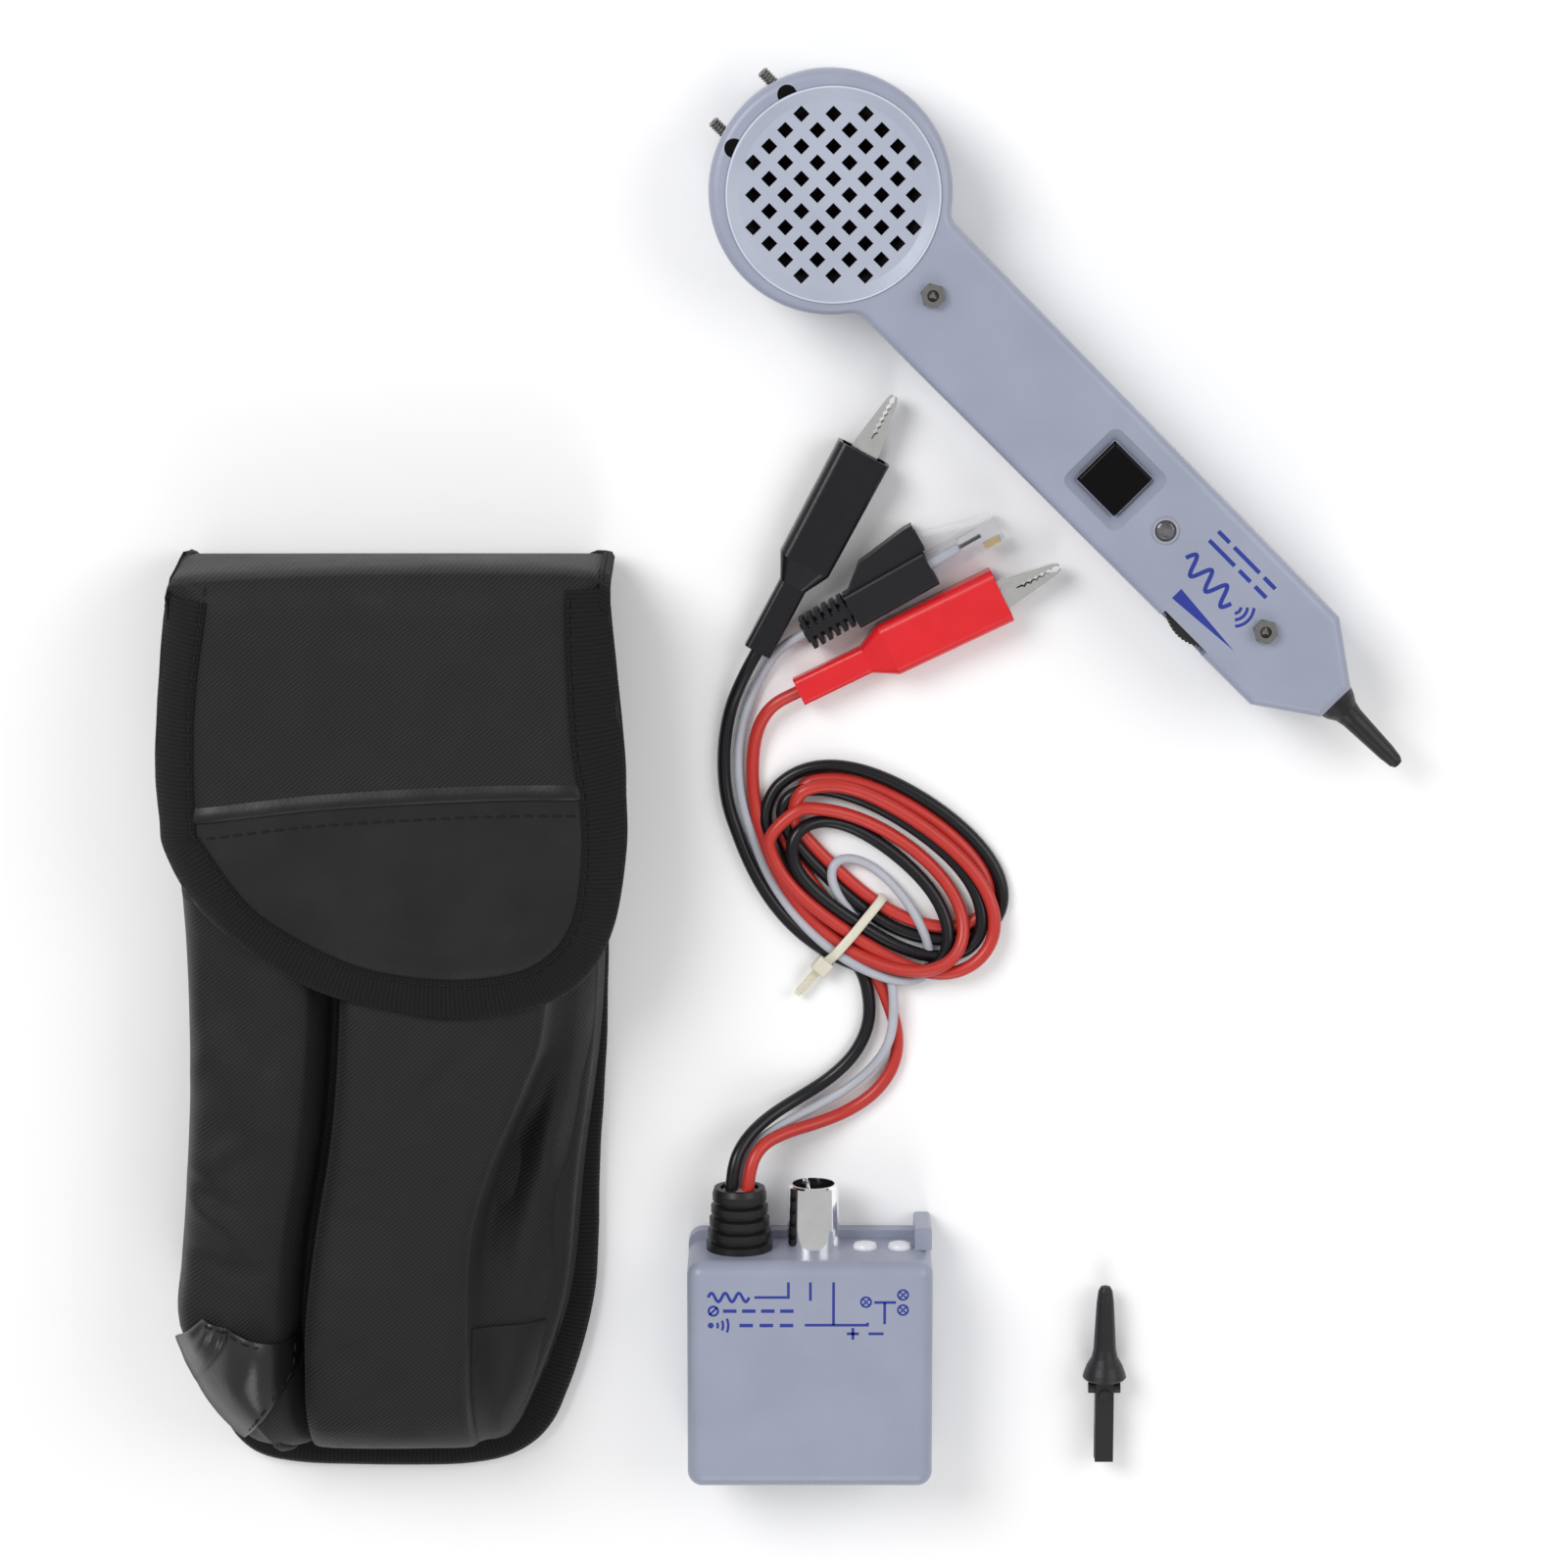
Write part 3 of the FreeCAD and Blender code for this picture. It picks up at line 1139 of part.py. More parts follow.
def make_leads():
    floor = FreeCAD.Placement()
    coil = coil_ring()
    for name in LEAD_ROUTES:
        radius = size("flat_radius") if name.startswith("grey") else size("lead_radius")
        tube = lead_tube(name, radius)
        keep(name, cut(f"{name}_trimmed", tube, doc.copyObject(coil)), floor)
    keep("lead_coil", coil, floor)
    tie_place = FreeCAD.Placement(Vec(17.9, -41.6, 0), FreeCAD.Rotation(Z_AXIS, 49.0))
    keep("cable_tie", cable_tie(), tie_place)


# ---------------------------------------------------------------- pouch


def bag_outline(sketch, wide, foot, end, bend, inset=0.0):
    """Plan of a bag or panel: square shoulders at its mouth, round corners at its foot."""
    left = inset
    right = wide - inset
    low = foot + inset
    curve = bend - inset
    chain(sketch, [
        segment((left + curve, low), (right - curve, low)),
        quarter_arc(right - curve, low + curve, curve, 3),
        segment((right, low + curve), (right, end)),
        segment((right, end), (left, end)),
        segment((left, end), (left, low + curve)),
        quarter_arc(left + curve, low + curve, curve, 2),
    ])


def tray(name, wide, long, low, deep, bend, wall):
    """A flat bag lying down, open at the far end."""
    body = new_body(name)
    outer = new_sketch(body, f"{name}_outer", low)
    bag_outline(outer, wide, 0.0, long, bend)
    pad(body, f"{name}_block", outer, deep)
    inner = new_sketch(body, f"{name}_inner", low + wall)
    bag_outline(inner, wide, 0.0, long + 1.0, bend, wall)
    pocket(body, f"{name}_inside", inner, deep - 2 * wall, upwards=True)
    return body


MOUTH_GAP = 0.5
FLAP_BEND = 30.0


def pouch_flap():
    """Flap: a strip across the mouth and a front panel with rounded corners."""
    wide = size("pouch_wide")
    long = size("flap_long")
    thick = size("flap_thick")
    low = size("pouch_low") + size("pouch_wall")
    top = flap_level()
    body = new_body("flap_panel")
    sketch = new_sketch(body, "flap_outline", top)
    end = size("pouch_long") + thick + MOUTH_GAP
    bag_outline(sketch, wide, end - long, end, FLAP_BEND)
    pad(body, "flap_pad", sketch, thick)
    strip = box("flap_strip", (0, end - thick, low), wide, thick, top + thick - low)
    return round_edges("flap_soft", fuse("flap_whole", body, strip), 1.4,
                       lambda edge: edge.BoundBox.XLength > 100 and at_height(edge, top + thick)
                       and edge.BoundBox.YMin > end - 0.1)


def flap_level():
    """Height of the flap's underside: above the pockets and the closed fastener."""
    return size("pouch_low") + size("pouch_deep") + size("pocket_deep") + 1.2


POCKET_BEND = 19.0


def pouch_pockets():
    """Two flat bellows pockets side by side on the front, open under the flap."""
    wide = size("pouch_wide")
    low = size("pouch_low") + size("pouch_deep")
    long = size("pocket_long")
    deep = size("pocket_deep")
    wall = size("pocket_wall")
    body = new_body("pocket_panel")
    outer = new_sketch(body, "pocket_outer", low)
    bag_outline(outer, wide, 0.0, long, POCKET_BEND)
    pad(body, "pocket_block", outer, deep)
    rooms = []
    for word, start, stretch in (("narrow", 2.0, 34.0), ("wide", 38.0, wide - 40.0)):
        at = (start, 4.0, low + wall)
        rooms.append(rounded_block(f"pocket_room_{word}", at, stretch, long, deep - 2 * wall, 1.5))
    inside = new_body("pocket_limit")
    limit = new_sketch(inside, "pocket_limit_outline", low)
    bag_outline(limit, wide, 0.0, long + 10.0, POCKET_BEND, 2.0)
    pad(inside, "pocket_limit_block", limit, deep)
    trimmed = common("pocket_rooms", fuse("pocket_rooms_both", *rooms), inside)
    return cut("pockets_cut", body, trimmed)


def make_pouch():
    home = FreeCAD.Placement(Vec(size("pouch_left"), size("pouch_foot"), 0), FreeCAD.Rotation())
    wide = size("pouch_wide")
    long = size("pouch_long")
    low = size("pouch_low")
    bag = tray("pouch_bag", wide, long, low, size("pouch_deep"), 20.0, size("pouch_wall"))
    keep("pouch_body", bag, home)
    keep("pouch_pockets", pouch_pockets(), home)
    keep("pouch_flap", pouch_flap(), home)
    level = flap_level()
    end = long + size("flap_thick") + MOUTH_GAP
    foot = end - size("flap_long")
    keep("flap_binding", flap_binding(foot, end, level), home)
    fastener_at = (36.0, foot + 16.0)
    loop = rounded_block("loop_pad", (*fastener_at, level - 1.2), 50.0, 24.0, 0.6, 2.0)
    hook = rounded_block("hook_pad", (*fastener_at, level - 0.6), 50.0, 24.0, 0.6, 2.0)
    keep("loop_patch", loop, home)
    keep("hook_patch", hook, home)
    keep("belt_loop", belt_loop(), home)


def belt_loop():
    """Flat strap on the back, joined to the bag by a seam at each end."""
    left, foot, wide, long, thick, seam = 33.0, 96.0, 56.0, 110.0, 1.6, 9.0
    strap = rounded_block("belt_strap", (left, foot, 0.0), wide, long, thick, 2.0)
    seams = []
    for word, start in (("foot", foot), ("top", foot + long - seam)):
        seams.append(box(f"belt_seam_{word}", (left, start, thick), wide, seam, size("pouch_low") - thick))
    return fuse("belt_loop_whole", strap, *seams)


def flap_binding(foot, end, level):
    """Folded tape round the flap's two sides and its lower edge."""
    wide = size("pouch_wide")
    thick = size("flap_thick")
    top = level + thick
    reach = end - 2.0
    body = new_body("binding_tape")
    sketch = new_sketch(body, "binding_outline", top)

    def rail(inset):
        bend = FLAP_BEND - inset
        left = inset
        right = wide - inset
        low = foot + inset
        return [segment((left, reach), (left, low + bend)),
                quarter_arc(left + bend, low + bend, bend, 2),
                segment((left + bend, low), (right - bend, low)),
                quarter_arc(right - bend, low + bend, bend, 3),
                segment((right, low + bend), (right, reach))]

    outer_inset = 0.4
    inner_inset = 8.0
    turned_back = [(curve, last, first) for curve, first, last in reversed(rail(inner_inset))]
    right_cap = segment((wide - outer_inset, reach), (wide - inner_inset, reach))
    left_cap = segment((inner_inset, reach), (outer_inset, reach))
    chain(sketch, rail(outer_inset) + [right_cap] + turned_back + [left_cap])
    pad(body, "binding_pad", sketch, 0.9)
    return body


# ---------------------------------------------------------------- the whole kit


def check_and_write():
    doc.recompute()
    for item in doc.Objects:
        if "Invalid" in item.State or "Error" in item.State:
            raise RuntimeError(f"{item.Name} did not build: {item.State}")
    os.makedirs("parts", exist_ok=True)
    for part in parts:
        shape = part.Shape
        if shape.isNull() or not shape.isValid() or not shape.Solids:
            raise RuntimeError(f"{part.Label} has no valid solid")
        shape.exportStep(f"parts/{part.Label}.step")
    print(f"{len(parts)} sub-parts written")


def main():
    fill_sheet()
    make_pouch()
    make_probe()
    make_spare_tip()
    make_generator()
    make_clips()
    make_plug()
    make_leads()
    check_and_write()


main()
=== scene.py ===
import json
from math import cos, exp, hypot, pi, radians, sin, sqrt

import bmesh
import bpy
import numpy as np
from mathutils import Matrix, Vector, noise


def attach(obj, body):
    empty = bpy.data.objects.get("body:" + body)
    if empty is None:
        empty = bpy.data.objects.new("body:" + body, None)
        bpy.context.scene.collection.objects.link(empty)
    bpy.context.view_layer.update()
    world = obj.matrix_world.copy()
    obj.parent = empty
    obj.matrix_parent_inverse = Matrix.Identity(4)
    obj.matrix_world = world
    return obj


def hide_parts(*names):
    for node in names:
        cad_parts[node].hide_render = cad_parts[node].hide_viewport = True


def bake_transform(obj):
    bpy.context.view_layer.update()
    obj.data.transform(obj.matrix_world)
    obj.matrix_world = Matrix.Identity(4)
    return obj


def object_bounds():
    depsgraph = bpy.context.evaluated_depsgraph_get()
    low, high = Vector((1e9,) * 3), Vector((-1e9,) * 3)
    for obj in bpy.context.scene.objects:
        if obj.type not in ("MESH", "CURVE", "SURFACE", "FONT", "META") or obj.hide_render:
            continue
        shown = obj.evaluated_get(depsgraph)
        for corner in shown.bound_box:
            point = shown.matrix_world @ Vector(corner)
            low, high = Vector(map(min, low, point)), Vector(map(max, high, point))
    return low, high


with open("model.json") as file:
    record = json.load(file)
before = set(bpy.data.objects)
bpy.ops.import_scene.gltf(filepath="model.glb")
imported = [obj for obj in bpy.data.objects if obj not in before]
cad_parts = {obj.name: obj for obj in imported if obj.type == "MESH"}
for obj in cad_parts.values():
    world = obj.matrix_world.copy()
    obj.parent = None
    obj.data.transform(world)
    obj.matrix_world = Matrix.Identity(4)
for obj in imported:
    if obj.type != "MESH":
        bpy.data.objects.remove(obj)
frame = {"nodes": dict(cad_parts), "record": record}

# The looks of a tone probe kit: moulded casings, test leads with clips and plug, and a nylon pouch.
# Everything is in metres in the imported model's frame; MM turns the design's millimetres into metres.

CAD_BOX = [list(corner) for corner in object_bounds()]
MM = 0.001


def metres(*point):
    return Vector(point) * MM


# ---------------------------------------------------------------- camera, light and floor


def link_object(name, data):
    made = bpy.data.objects.new(name, data)
    bpy.context.scene.collection.objects.link(made)
    return made


def set_camera():
    """Almost straight down, leaning back enough to show the top wall of the tone generator."""
    low, high = (Vector(corner) for corner in CAD_BOX)
    middle = (low + high) / 2
    lean = radians(10.0)
    distance = 1.15
    frame_width = 0.418
    data = bpy.data.cameras.new("camera")
    data.lens = data.sensor_width * distance / frame_width
    camera = link_object("camera", data)
    aim = Vector((middle.x, middle.y + 0.001, 0.012))
    camera.location = aim + distance * Vector((0, sin(lean), cos(lean)))
    camera.rotation_euler = (-lean, 0, 0)
    bpy.context.scene.camera = camera


def add_light(name, place, aim, size, power):
    data = bpy.data.lights.new(name, "AREA")
    data.shape = "DISK"
    data.size = size
    data.energy = power
    light = link_object(name, data)
    light.location = place
    light.rotation_euler = (Vector(aim) - Vector(place)).to_track_quat("-Z", "Y").to_euler()


def set_light():
    scene = bpy.context.scene
    scene.view_settings.view_transform = "Standard"
    world = bpy.data.worlds.new("studio")
    world.use_nodes = True
    sky = world.node_tree.nodes["Background"]
    sky.inputs["Color"].default_value = (1.0, 1.0, 1.0, 1)
    sky.inputs["Strength"].default_value = 0.5
    scene.world = world
    add_light("key", (-0.75, 0.65, 1.15), (0, 0, 0), 0.8, 12.0)
    add_light("fill", (0.9, 0.3, 0.9), (0, 0, 0), 0.9, 5.0)
    add_light("foot", (0.1, -1.0, 0.8), (0, -0.05, 0), 0.7, 3.0)


def make_floor():
    data = bpy.data.meshes.new("floor")
    half = 4.0
    data.from_pydata([(-half, -half, 0), (half, -half, 0), (half, half, 0), (-half, half, 0)],
                     [], [(0, 1, 2, 3)])
    floor = link_object("floor", data)
    floor.location.z = CAD_BOX[0][2] - 0.0001
    paint = Paint("floor_white", (0.93, 0.93, 0.935), 0.75)
    data.materials.append(paint.material)


# ---------------------------------------------------------------- materials


class Paint:
    """A material with short ways to add nodes to it and to join them."""

    def __init__(self, name, colour, roughness, **values):
        self.material = bpy.data.materials.new(name)
        self.material.use_nodes = True
        self.tree = self.material.node_tree
        self.shader = self.tree.nodes["Principled BSDF"]
        self.shader.inputs["Base Color"].default_value = (*colour, 1)
        self.shader.inputs["Roughness"].default_value = roughness
        for socket, value in values.items():
            self.shader.inputs[socket.replace("_", " ")].default_value = value
        self.colour = colour

    def node(self, kind, **settings):
        """A new node; a setting with a capital letter is one of its inputs, any other a property."""
        made = self.tree.nodes.new(f"ShaderNode{kind}")
        for key, value in settings.items():
            if key[0].isupper():
                made.inputs[key.replace("_", " ")].default_value = value
            else:
                setattr(made, key, value)
        return made

    def join(self, source, output, target, socket):
        self.tree.links.new(source.outputs[output], target.inputs[socket])

    def place(self, stretch=(1, 1, 1), turn=(0, 0, 0), source="Object"):
        """Texture coordinates of the object's own frame, in metres, or of its UV map."""
        coordinates = self.node("TexCoord")
        mapping = self.node("Mapping", Scale=stretch, Rotation=turn)
        self.join(coordinates, source, mapping, "Vector")
        return mapping

    def noise(self, scale, detail=2.0, at=None):
        at = at or self.place()
        made = self.node("TexNoise", Scale=scale, Detail=detail)
        self.join(at, "Vector", made, "Vector")
        return made

    def wave(self, pitch, at, distort):
        """Straight bands, one each pitch metres."""
        made = self.node("TexWave", Scale=pi / 10 / pitch, Distortion=distort)
        self.join(at, "Vector", made, "Vector")
        return made

    def mix(self, low, high, source, start=0.35, end=0.65):
        """Makes the base colour run between two colours, by a texture's levels start and end."""
        ramp = self.node("ValToRGB")
        ramp.color_ramp.elements[0].position = start
        ramp.color_ramp.elements[1].position = end
        ramp.color_ramp.elements[0].color = (*low, 1)
        ramp.color_ramp.elements[1].color = (*high, 1)
        self.join(source, "Fac", ramp, "Fac")
        self.join(ramp, "Color", self.shader, "Base Color")

    def vary(self, amount, source):
        """Makes the base colour a little darker and lighter by a texture."""
        dark, light = ([channel * share for channel in self.colour] for share in (1 - amount, 1 + amount))
        self.mix(dark, light, source)

    def rough(self, low, high, source):
        """Makes the roughness run between two values by a texture."""
        spread = self.node("MapRange", To_Min=low, To_Max=high)
        self.join(source, "Fac", spread, "Value")
        self.join(spread, "Result", self.shader, "Roughness")

    def bump(self, depth, source, output="Fac", strength=1.0):
        """Raises the surface by up to depth metres; calls add up."""
        made = self.node("Bump", Distance=depth, Strength=strength)
        self.join(source, output, made, "Height")
        normal = self.shader.inputs["Normal"]
        if normal.is_linked:
            self.tree.links.new(normal.links[0].from_socket, made.inputs["Normal"])
        self.join(made, "Normal", self.shader, "Normal")


def moulded(name, colour, roughness, grain=0.00003, grain_scale=2600, **values):
    """Moulded plastic: fine spark-eroded grain, faint flow marks and uneven gloss."""
    paint = Paint(name, colour, roughness, **values)
    paint.vary(0.035, paint.noise(55, 3))
    paint.rough(roughness - 0.07, roughness + 0.07, paint.noise(180, 3))
    paint.bump(grain, paint.noise(grain_scale, 2))
    return paint.material


def plated(name, colour, roughness):
    """Plated metal with fine drawing marks and faint handling smears."""
    paint = Paint(name, colour, roughness, Metallic=1.0)
    drawn = paint.noise(900, 3, paint.place(stretch=(1, 0.12, 1)))
    paint.rough(roughness * 0.7, roughness * 1.4, drawn)
    paint.vary(0.04, paint.noise(160, 3))
    paint.bump(0.000004, drawn)
    return paint.material


def vinyl(name, colour, roughness, gloss=0.4):
    """Soft PVC: satin skin, slight orange peel and faint dust."""
    paint = Paint(name, colour, roughness, Specular_IOR_Level=gloss, Coat_Weight=0.12, Coat_Roughness=0.2)
    paint.vary(0.05, paint.noise(90, 3))
    paint.rough(roughness - 0.08, roughness + 0.10, paint.noise(320, 3))
    paint.bump(0.00004, paint.noise(700, 3))
    return paint.material


def clear(name, colour, roughness):
    """Clear moulding with a little haze."""
    paint = Paint(name, colour, roughness, IOR=1.40, Transmission_Weight=0.9, Alpha=0.42)
    paint.rough(roughness * 0.5, roughness * 2.0, paint.noise(260, 2))
    paint.bump(0.00003, paint.noise(500, 2))
    return paint.material


def woven(name, colour, roughness=0.7):
    """Black cloth: hardly any gloss, a trace of sheen."""
    return Paint(name, colour, roughness, Specular_IOR_Level=0.22, Sheen_Weight=0.05, Sheen_Roughness=0.5)


def thread(name, colour):
    return woven(name, colour, 0.6).material


def smoky(name, colour):
    """Smoked lens: mostly dull grey, darker and lighter in patches, under a glossy skin."""
    paint = Paint(name, colour, 0.18, IOR=1.49, Transmission_Weight=0.25, Coat_Weight=0.5)
    paint.vary(0.45, paint.noise(420, 2))
    paint.bump(0.00004, paint.noise(500, 2))
    return paint.material


def twill(name, colour, light, pitch=0.0009):
    """Nylon twill: diagonal ribs crossed by the weft, and uneven wear."""
    paint = woven(name, colour)
    ribs = paint.wave(pitch, paint.place(turn=(0, 0, radians(50))), 0.3)
    weft = paint.wave(pitch * 0.9, paint.place(turn=(0, 0, radians(-18))), 0.3)
    paint.mix(colour, light, ribs, 0.2, 0.95)
    paint.rough(0.5, 0.74, paint.noise(90, 3))
    paint.bump(0.00010, ribs, strength=0.8)
    paint.bump(0.00004, weft, strength=0.6)
    paint.bump(0.0005, paint.noise(60, 4), strength=0.5)
    return paint.material


def grosgrain(name, colour, light, pitch=0.0012):
    """Ribbed tape: cross ribs along the tape's first UV direction, and a fine fuzz."""
    paint = woven(name, colour, 0.8)
    ribs = paint.wave(pitch, paint.place(source="UV"), 0.25)
    paint.mix(colour, light, ribs, 0.3, 0.95)
    paint.bump(0.00025, ribs)
    paint.bump(0.00010, paint.noise(1500, 2), strength=0.6)
    return paint.material


def leatherette(name, colour, roughness, gloss):
    """Coated cloth: shallow pebbled grain, satin gloss and soft dents."""
    paint = Paint(name, colour, roughness, Specular_IOR_Level=gloss)
    cells = paint.node("TexVoronoi", Scale=900.0)
    paint.join(paint.place(), "Vector", cells, "Vector")
    paint.vary(0.2, paint.noise(40, 3))
    paint.rough(roughness - 0.08, roughness + 0.12, paint.noise(120, 3))
    paint.bump(0.00005, cells, "Distance", 0.6)
    paint.bump(0.0003, paint.noise(45, 3), strength=0.4)
    return paint.material


# Each material's maker and what it takes: colour, then roughness or second colour, and so on
MATERIALS = {
    "casing_grey": (moulded, (0.287, 0.311, 0.398), 0.36),
    "black_plastic": (moulded, (0.002, 0.002, 0.0025), 0.16, 0.00001, {"Specular_IOR_Level": 0.14}),
    "tip_plastic": (moulded, (0.012, 0.012, 0.014), 0.42, 0.00005, 1500, {"Specular_IOR_Level": 0.35}),
    "wheel_plastic": (moulded, (0.012, 0.012, 0.013), 0.5, 0.00004),
    "lamp_lens": (smoky, (0.13, 0.125, 0.14)),
    "bezel": (moulded, (0.30, 0.31, 0.37), 0.25, 0.00001, {"Coat_Weight": 0.4}),
    "white_lens": (moulded, (0.70, 0.71, 0.75), 0.2),
    "grille_grey": (moulded, (0.375, 0.400, 0.490), 0.36),
    "dark_nickel": (plated, (0.30, 0.295, 0.285), 0.24),
    "nickel": (plated, (0.80, 0.795, 0.78), 0.15),
    "chrome_collar": (plated, (0.93, 0.93, 0.94), 0.08),
    "brass_contact": (plated, (0.80, 0.56, 0.22), 0.2),
    "board_green": (moulded, (0.01, 0.10, 0.035), 0.3, 0.00002),
    "battery_can": (moulded, (0.03, 0.03, 0.035), 0.3, 0.00001),
    "snap_vinyl": (vinyl, (0.02, 0.02, 0.02), 0.45),
    "speaker_frame": (moulded, (0.003, 0.003, 0.003), 0.7, {"Specular_IOR_Level": 0.1}),
    "gland_rubber": (vinyl, (0.009, 0.009, 0.010), 0.45, 0.3),
    "black_vinyl": (vinyl, (0.007, 0.007, 0.009), 0.3, 0.28),
    "red_vinyl": (vinyl, (0.66, 0.012, 0.018), 0.3),
    "grey_vinyl": (vinyl, (0.42, 0.43, 0.48), 0.4),
    "plug_black": (moulded, (0.009, 0.009, 0.012), 0.38, {"Specular_IOR_Level": 0.3}),
    "clear_plastic": (clear, (0.93, 0.95, 1.0), 0.06),
    "nylon_natural": (moulded, (0.66, 0.63, 0.52), 0.35,
                      {"Subsurface_Weight": 0.15, "Subsurface_Scale": 0.002}),
    "pouch_twill": (twill, (0.0060, 0.0060, 0.0062), (0.0160, 0.0160, 0.0164)),
    "binding_tape": (grosgrain, (0.0030, 0.0030, 0.0030), (0.0075, 0.0075, 0.0073)),
    "fastener_pile": (twill, (0.006, 0.006, 0.006), (0.016, 0.016, 0.016), 0.0006),
    "red_lead": (vinyl, (0.48, 0.030, 0.022), 0.36),
    "leatherette": (leatherette, (0.0105, 0.0105, 0.0105), 0.38, 0.3),
    "glossy_leatherette": (leatherette, (0.010, 0.010, 0.0105), 0.3, 0.55),
    "dull_leatherette": (leatherette, (0.0125, 0.0125, 0.0125), 0.55, 0.22),
    "thread": (thread, (0.004, 0.004, 0.004)),
    "print_blue": (moulded, (0.012, 0.028, 0.26), 0.42, 0.00001),
    "potting": (vinyl, (0.36, 0.30, 0.31), 0.45),
    # A lighter grey for the thin ring on the grille's edge: a painted highlight.
    "grille_rim": (moulded, (0.56, 0.585, 0.68), 0.3, 0.00001),
}
made_materials = {}


def finish_of(name):
    """The material of that name, made when it is first asked for."""
    if name not in made_materials:
        maker, *values = MATERIALS[name]
        more = values.pop() if isinstance(values[-1], dict) else {}
        made_materials[name] = maker(name, *values, **more)
    return made_materials[name]


# Pieces whose finish differs a little from the others of their slot
OWN_FINISH = {"speaker_grille": "grille_grey", "housing_nuts": "dark_nickel",
              "housing_screws": "dark_nickel", "terminal_studs": "dark_nickel"}


def paint_nodes():
    """Every piece carried over from the design gets the finish of its slot."""
    for row in frame["record"]["subparts"]:
        node = frame["nodes"][row["node"]]
        node.data.materials.clear()
        node.data.materials.append(finish_of(OWN_FINISH.get(row["node"], row["material_slot"])))


# ---------------------------------------------------------------- meshes


def mesh_piece(name, points, faces, slot_name, finish=None, uv=None, smooth=True):
    data = bpy.data.meshes.new(name)
    data.from_pydata([tuple(point) for point in points], [], faces)
    if uv:
        layer = data.uv_layers.new(name="weave")
        for loop in data.loops:
            layer.data[loop.index].uv = uv[loop.vertex_index]
    data.polygons.foreach_set("use_smooth", [smooth] * len(data.polygons))
    data.update()
    data.materials.append(finish_of(finish or slot_name))
    piece = link_object(name, data)
    return piece


def outward(piece):
    """Turns all faces of a closed mesh outwards."""
    shell = bmesh.new()
    shell.from_mesh(piece.data)
    bmesh.ops.recalc_face_normals(shell, faces=shell.faces)
    shell.to_mesh(piece.data)
    shell.free()
    return piece


def face_up(piece):
    """Turns an open mesh over if its faces look down on the whole."""
    data = piece.data
    if sum(face.normal.z * face.area for face in data.polygons) < 0:
        data.flip_normals()
    return piece


def grid_faces(rows, columns, closed=False, looped=False):
    """Quads between rows of points; closed joins the last column to the first, looped the last row."""
    faces = []
    for row in range(rows if looped else rows - 1):
        near, far = row * columns, (row + 1) % rows * columns
        for column in range(columns if closed else columns - 1):
            following = (column + 1) % columns
            faces.append((near + column, near + following, far + following, far + column))
    return faces


def modify(piece, kind, **settings):
    made = piece.modifiers.new(kind.lower(), kind)
    for key, value in settings.items():
        setattr(made, key, value)
    return piece


def smooth_step(value, start=0.0, end=1.0):
    """0 before start, 1 after end, and a smooth rise between them."""
    share = min(max((value - start) / (end - start), 0.0), 1.0)
    return share * share * (3 - 2 * share)


def spline(points, count):
    """Catmull-Rom curve through spatial points, as count points."""
    points = [Vector(point) for point in points]
    spans = len(points) - 1
    made = []
    for index in range(count):
        reach = spans * index / (count - 1)
        span = min(int(reach), spans - 1)
        share = reach - span
        a, b, c, d = (points[min(max(span + step, 0), spans)] for step in (-1, 0, 1, 2))
        square = share * share
        cube = square * share
        made.append(0.5 * (2 * b + (c - a) * share + (2 * a - 5 * b + 4 * c - d) * square
                           + (3 * b - a - 3 * c + d) * cube))
    return made


def flat_spline(points, count):
    """The same curve through flat points, at height 0."""
    return spline([(*point, 0) for point in points], count)


def softened(points, rounds):
    """The same line smoothed, its two ends kept."""
    for _ in range(rounds):
        middle = [(a + 2 * b + c) / 4 for a, b, c in zip(points, points[1:], points[2:])]
        points = [points[0], *middle, points[-1]]
    return points


def evenly(points, step):
    """The same line as points a step apart."""
    made = [points[0]]
    spare = 0.0
    for start, end in zip(points, points[1:]):
        length = (end - start).length
        reach = step - spare
        while reach <= length:
            made.append(start.lerp(end, reach / length))
            reach += step
        spare = (spare + length) % step
    return made


# ---------------------------------------------------------------- test leads

RADII = {"black": 1.75, "red": 1.75, "grey": 1.3}

# Points of each lead where it isn't coiled, in millimetres: the same as the design's routes.
LOWER_ROUTES = {
    "black": [(-14.5, -111, 16.6), (-14.3, -103.4, 16.4), (-11, -96.6, 13.2), (-4.6, -91.4, 8.2),
              (3.6, -87.2, 3.9), (12.4, -82.2, 1.75), (19.6, -75, 1.75), (23.4, -65.6, 1.75),
              (22.8, -55.6, 1.75), (19, -47, 1.75)],
    "grey": [(-12.3, -111, 12.8), (-12.1, -104, 12.6), (-8, -97.8, 10.6), (-0.4, -93.6, 6.8),
             (8.6, -89.6, 3.4), (17.6, -84.6, 2.2), (25, -77.6, 3.6), (29.2, -69.4, 5.4),
             (30.4, -60.4, 5.4), (28.6, -51.5, 4.6)],
    "red": [(-10.1, -111, 16.4), (-9.8, -104, 16.2), (-6.6, -97.8, 14), (0.2, -95.2, 10),
            (8.4, -94, 5.4), (17, -91.4, 2.2), (24.8, -86.2, 1.75), (30, -78.4, 1.75),
            (30.8, -69.4, 1.75), (27.8, -60.6, 1.75), (25.6, -52, 1.75)],
}
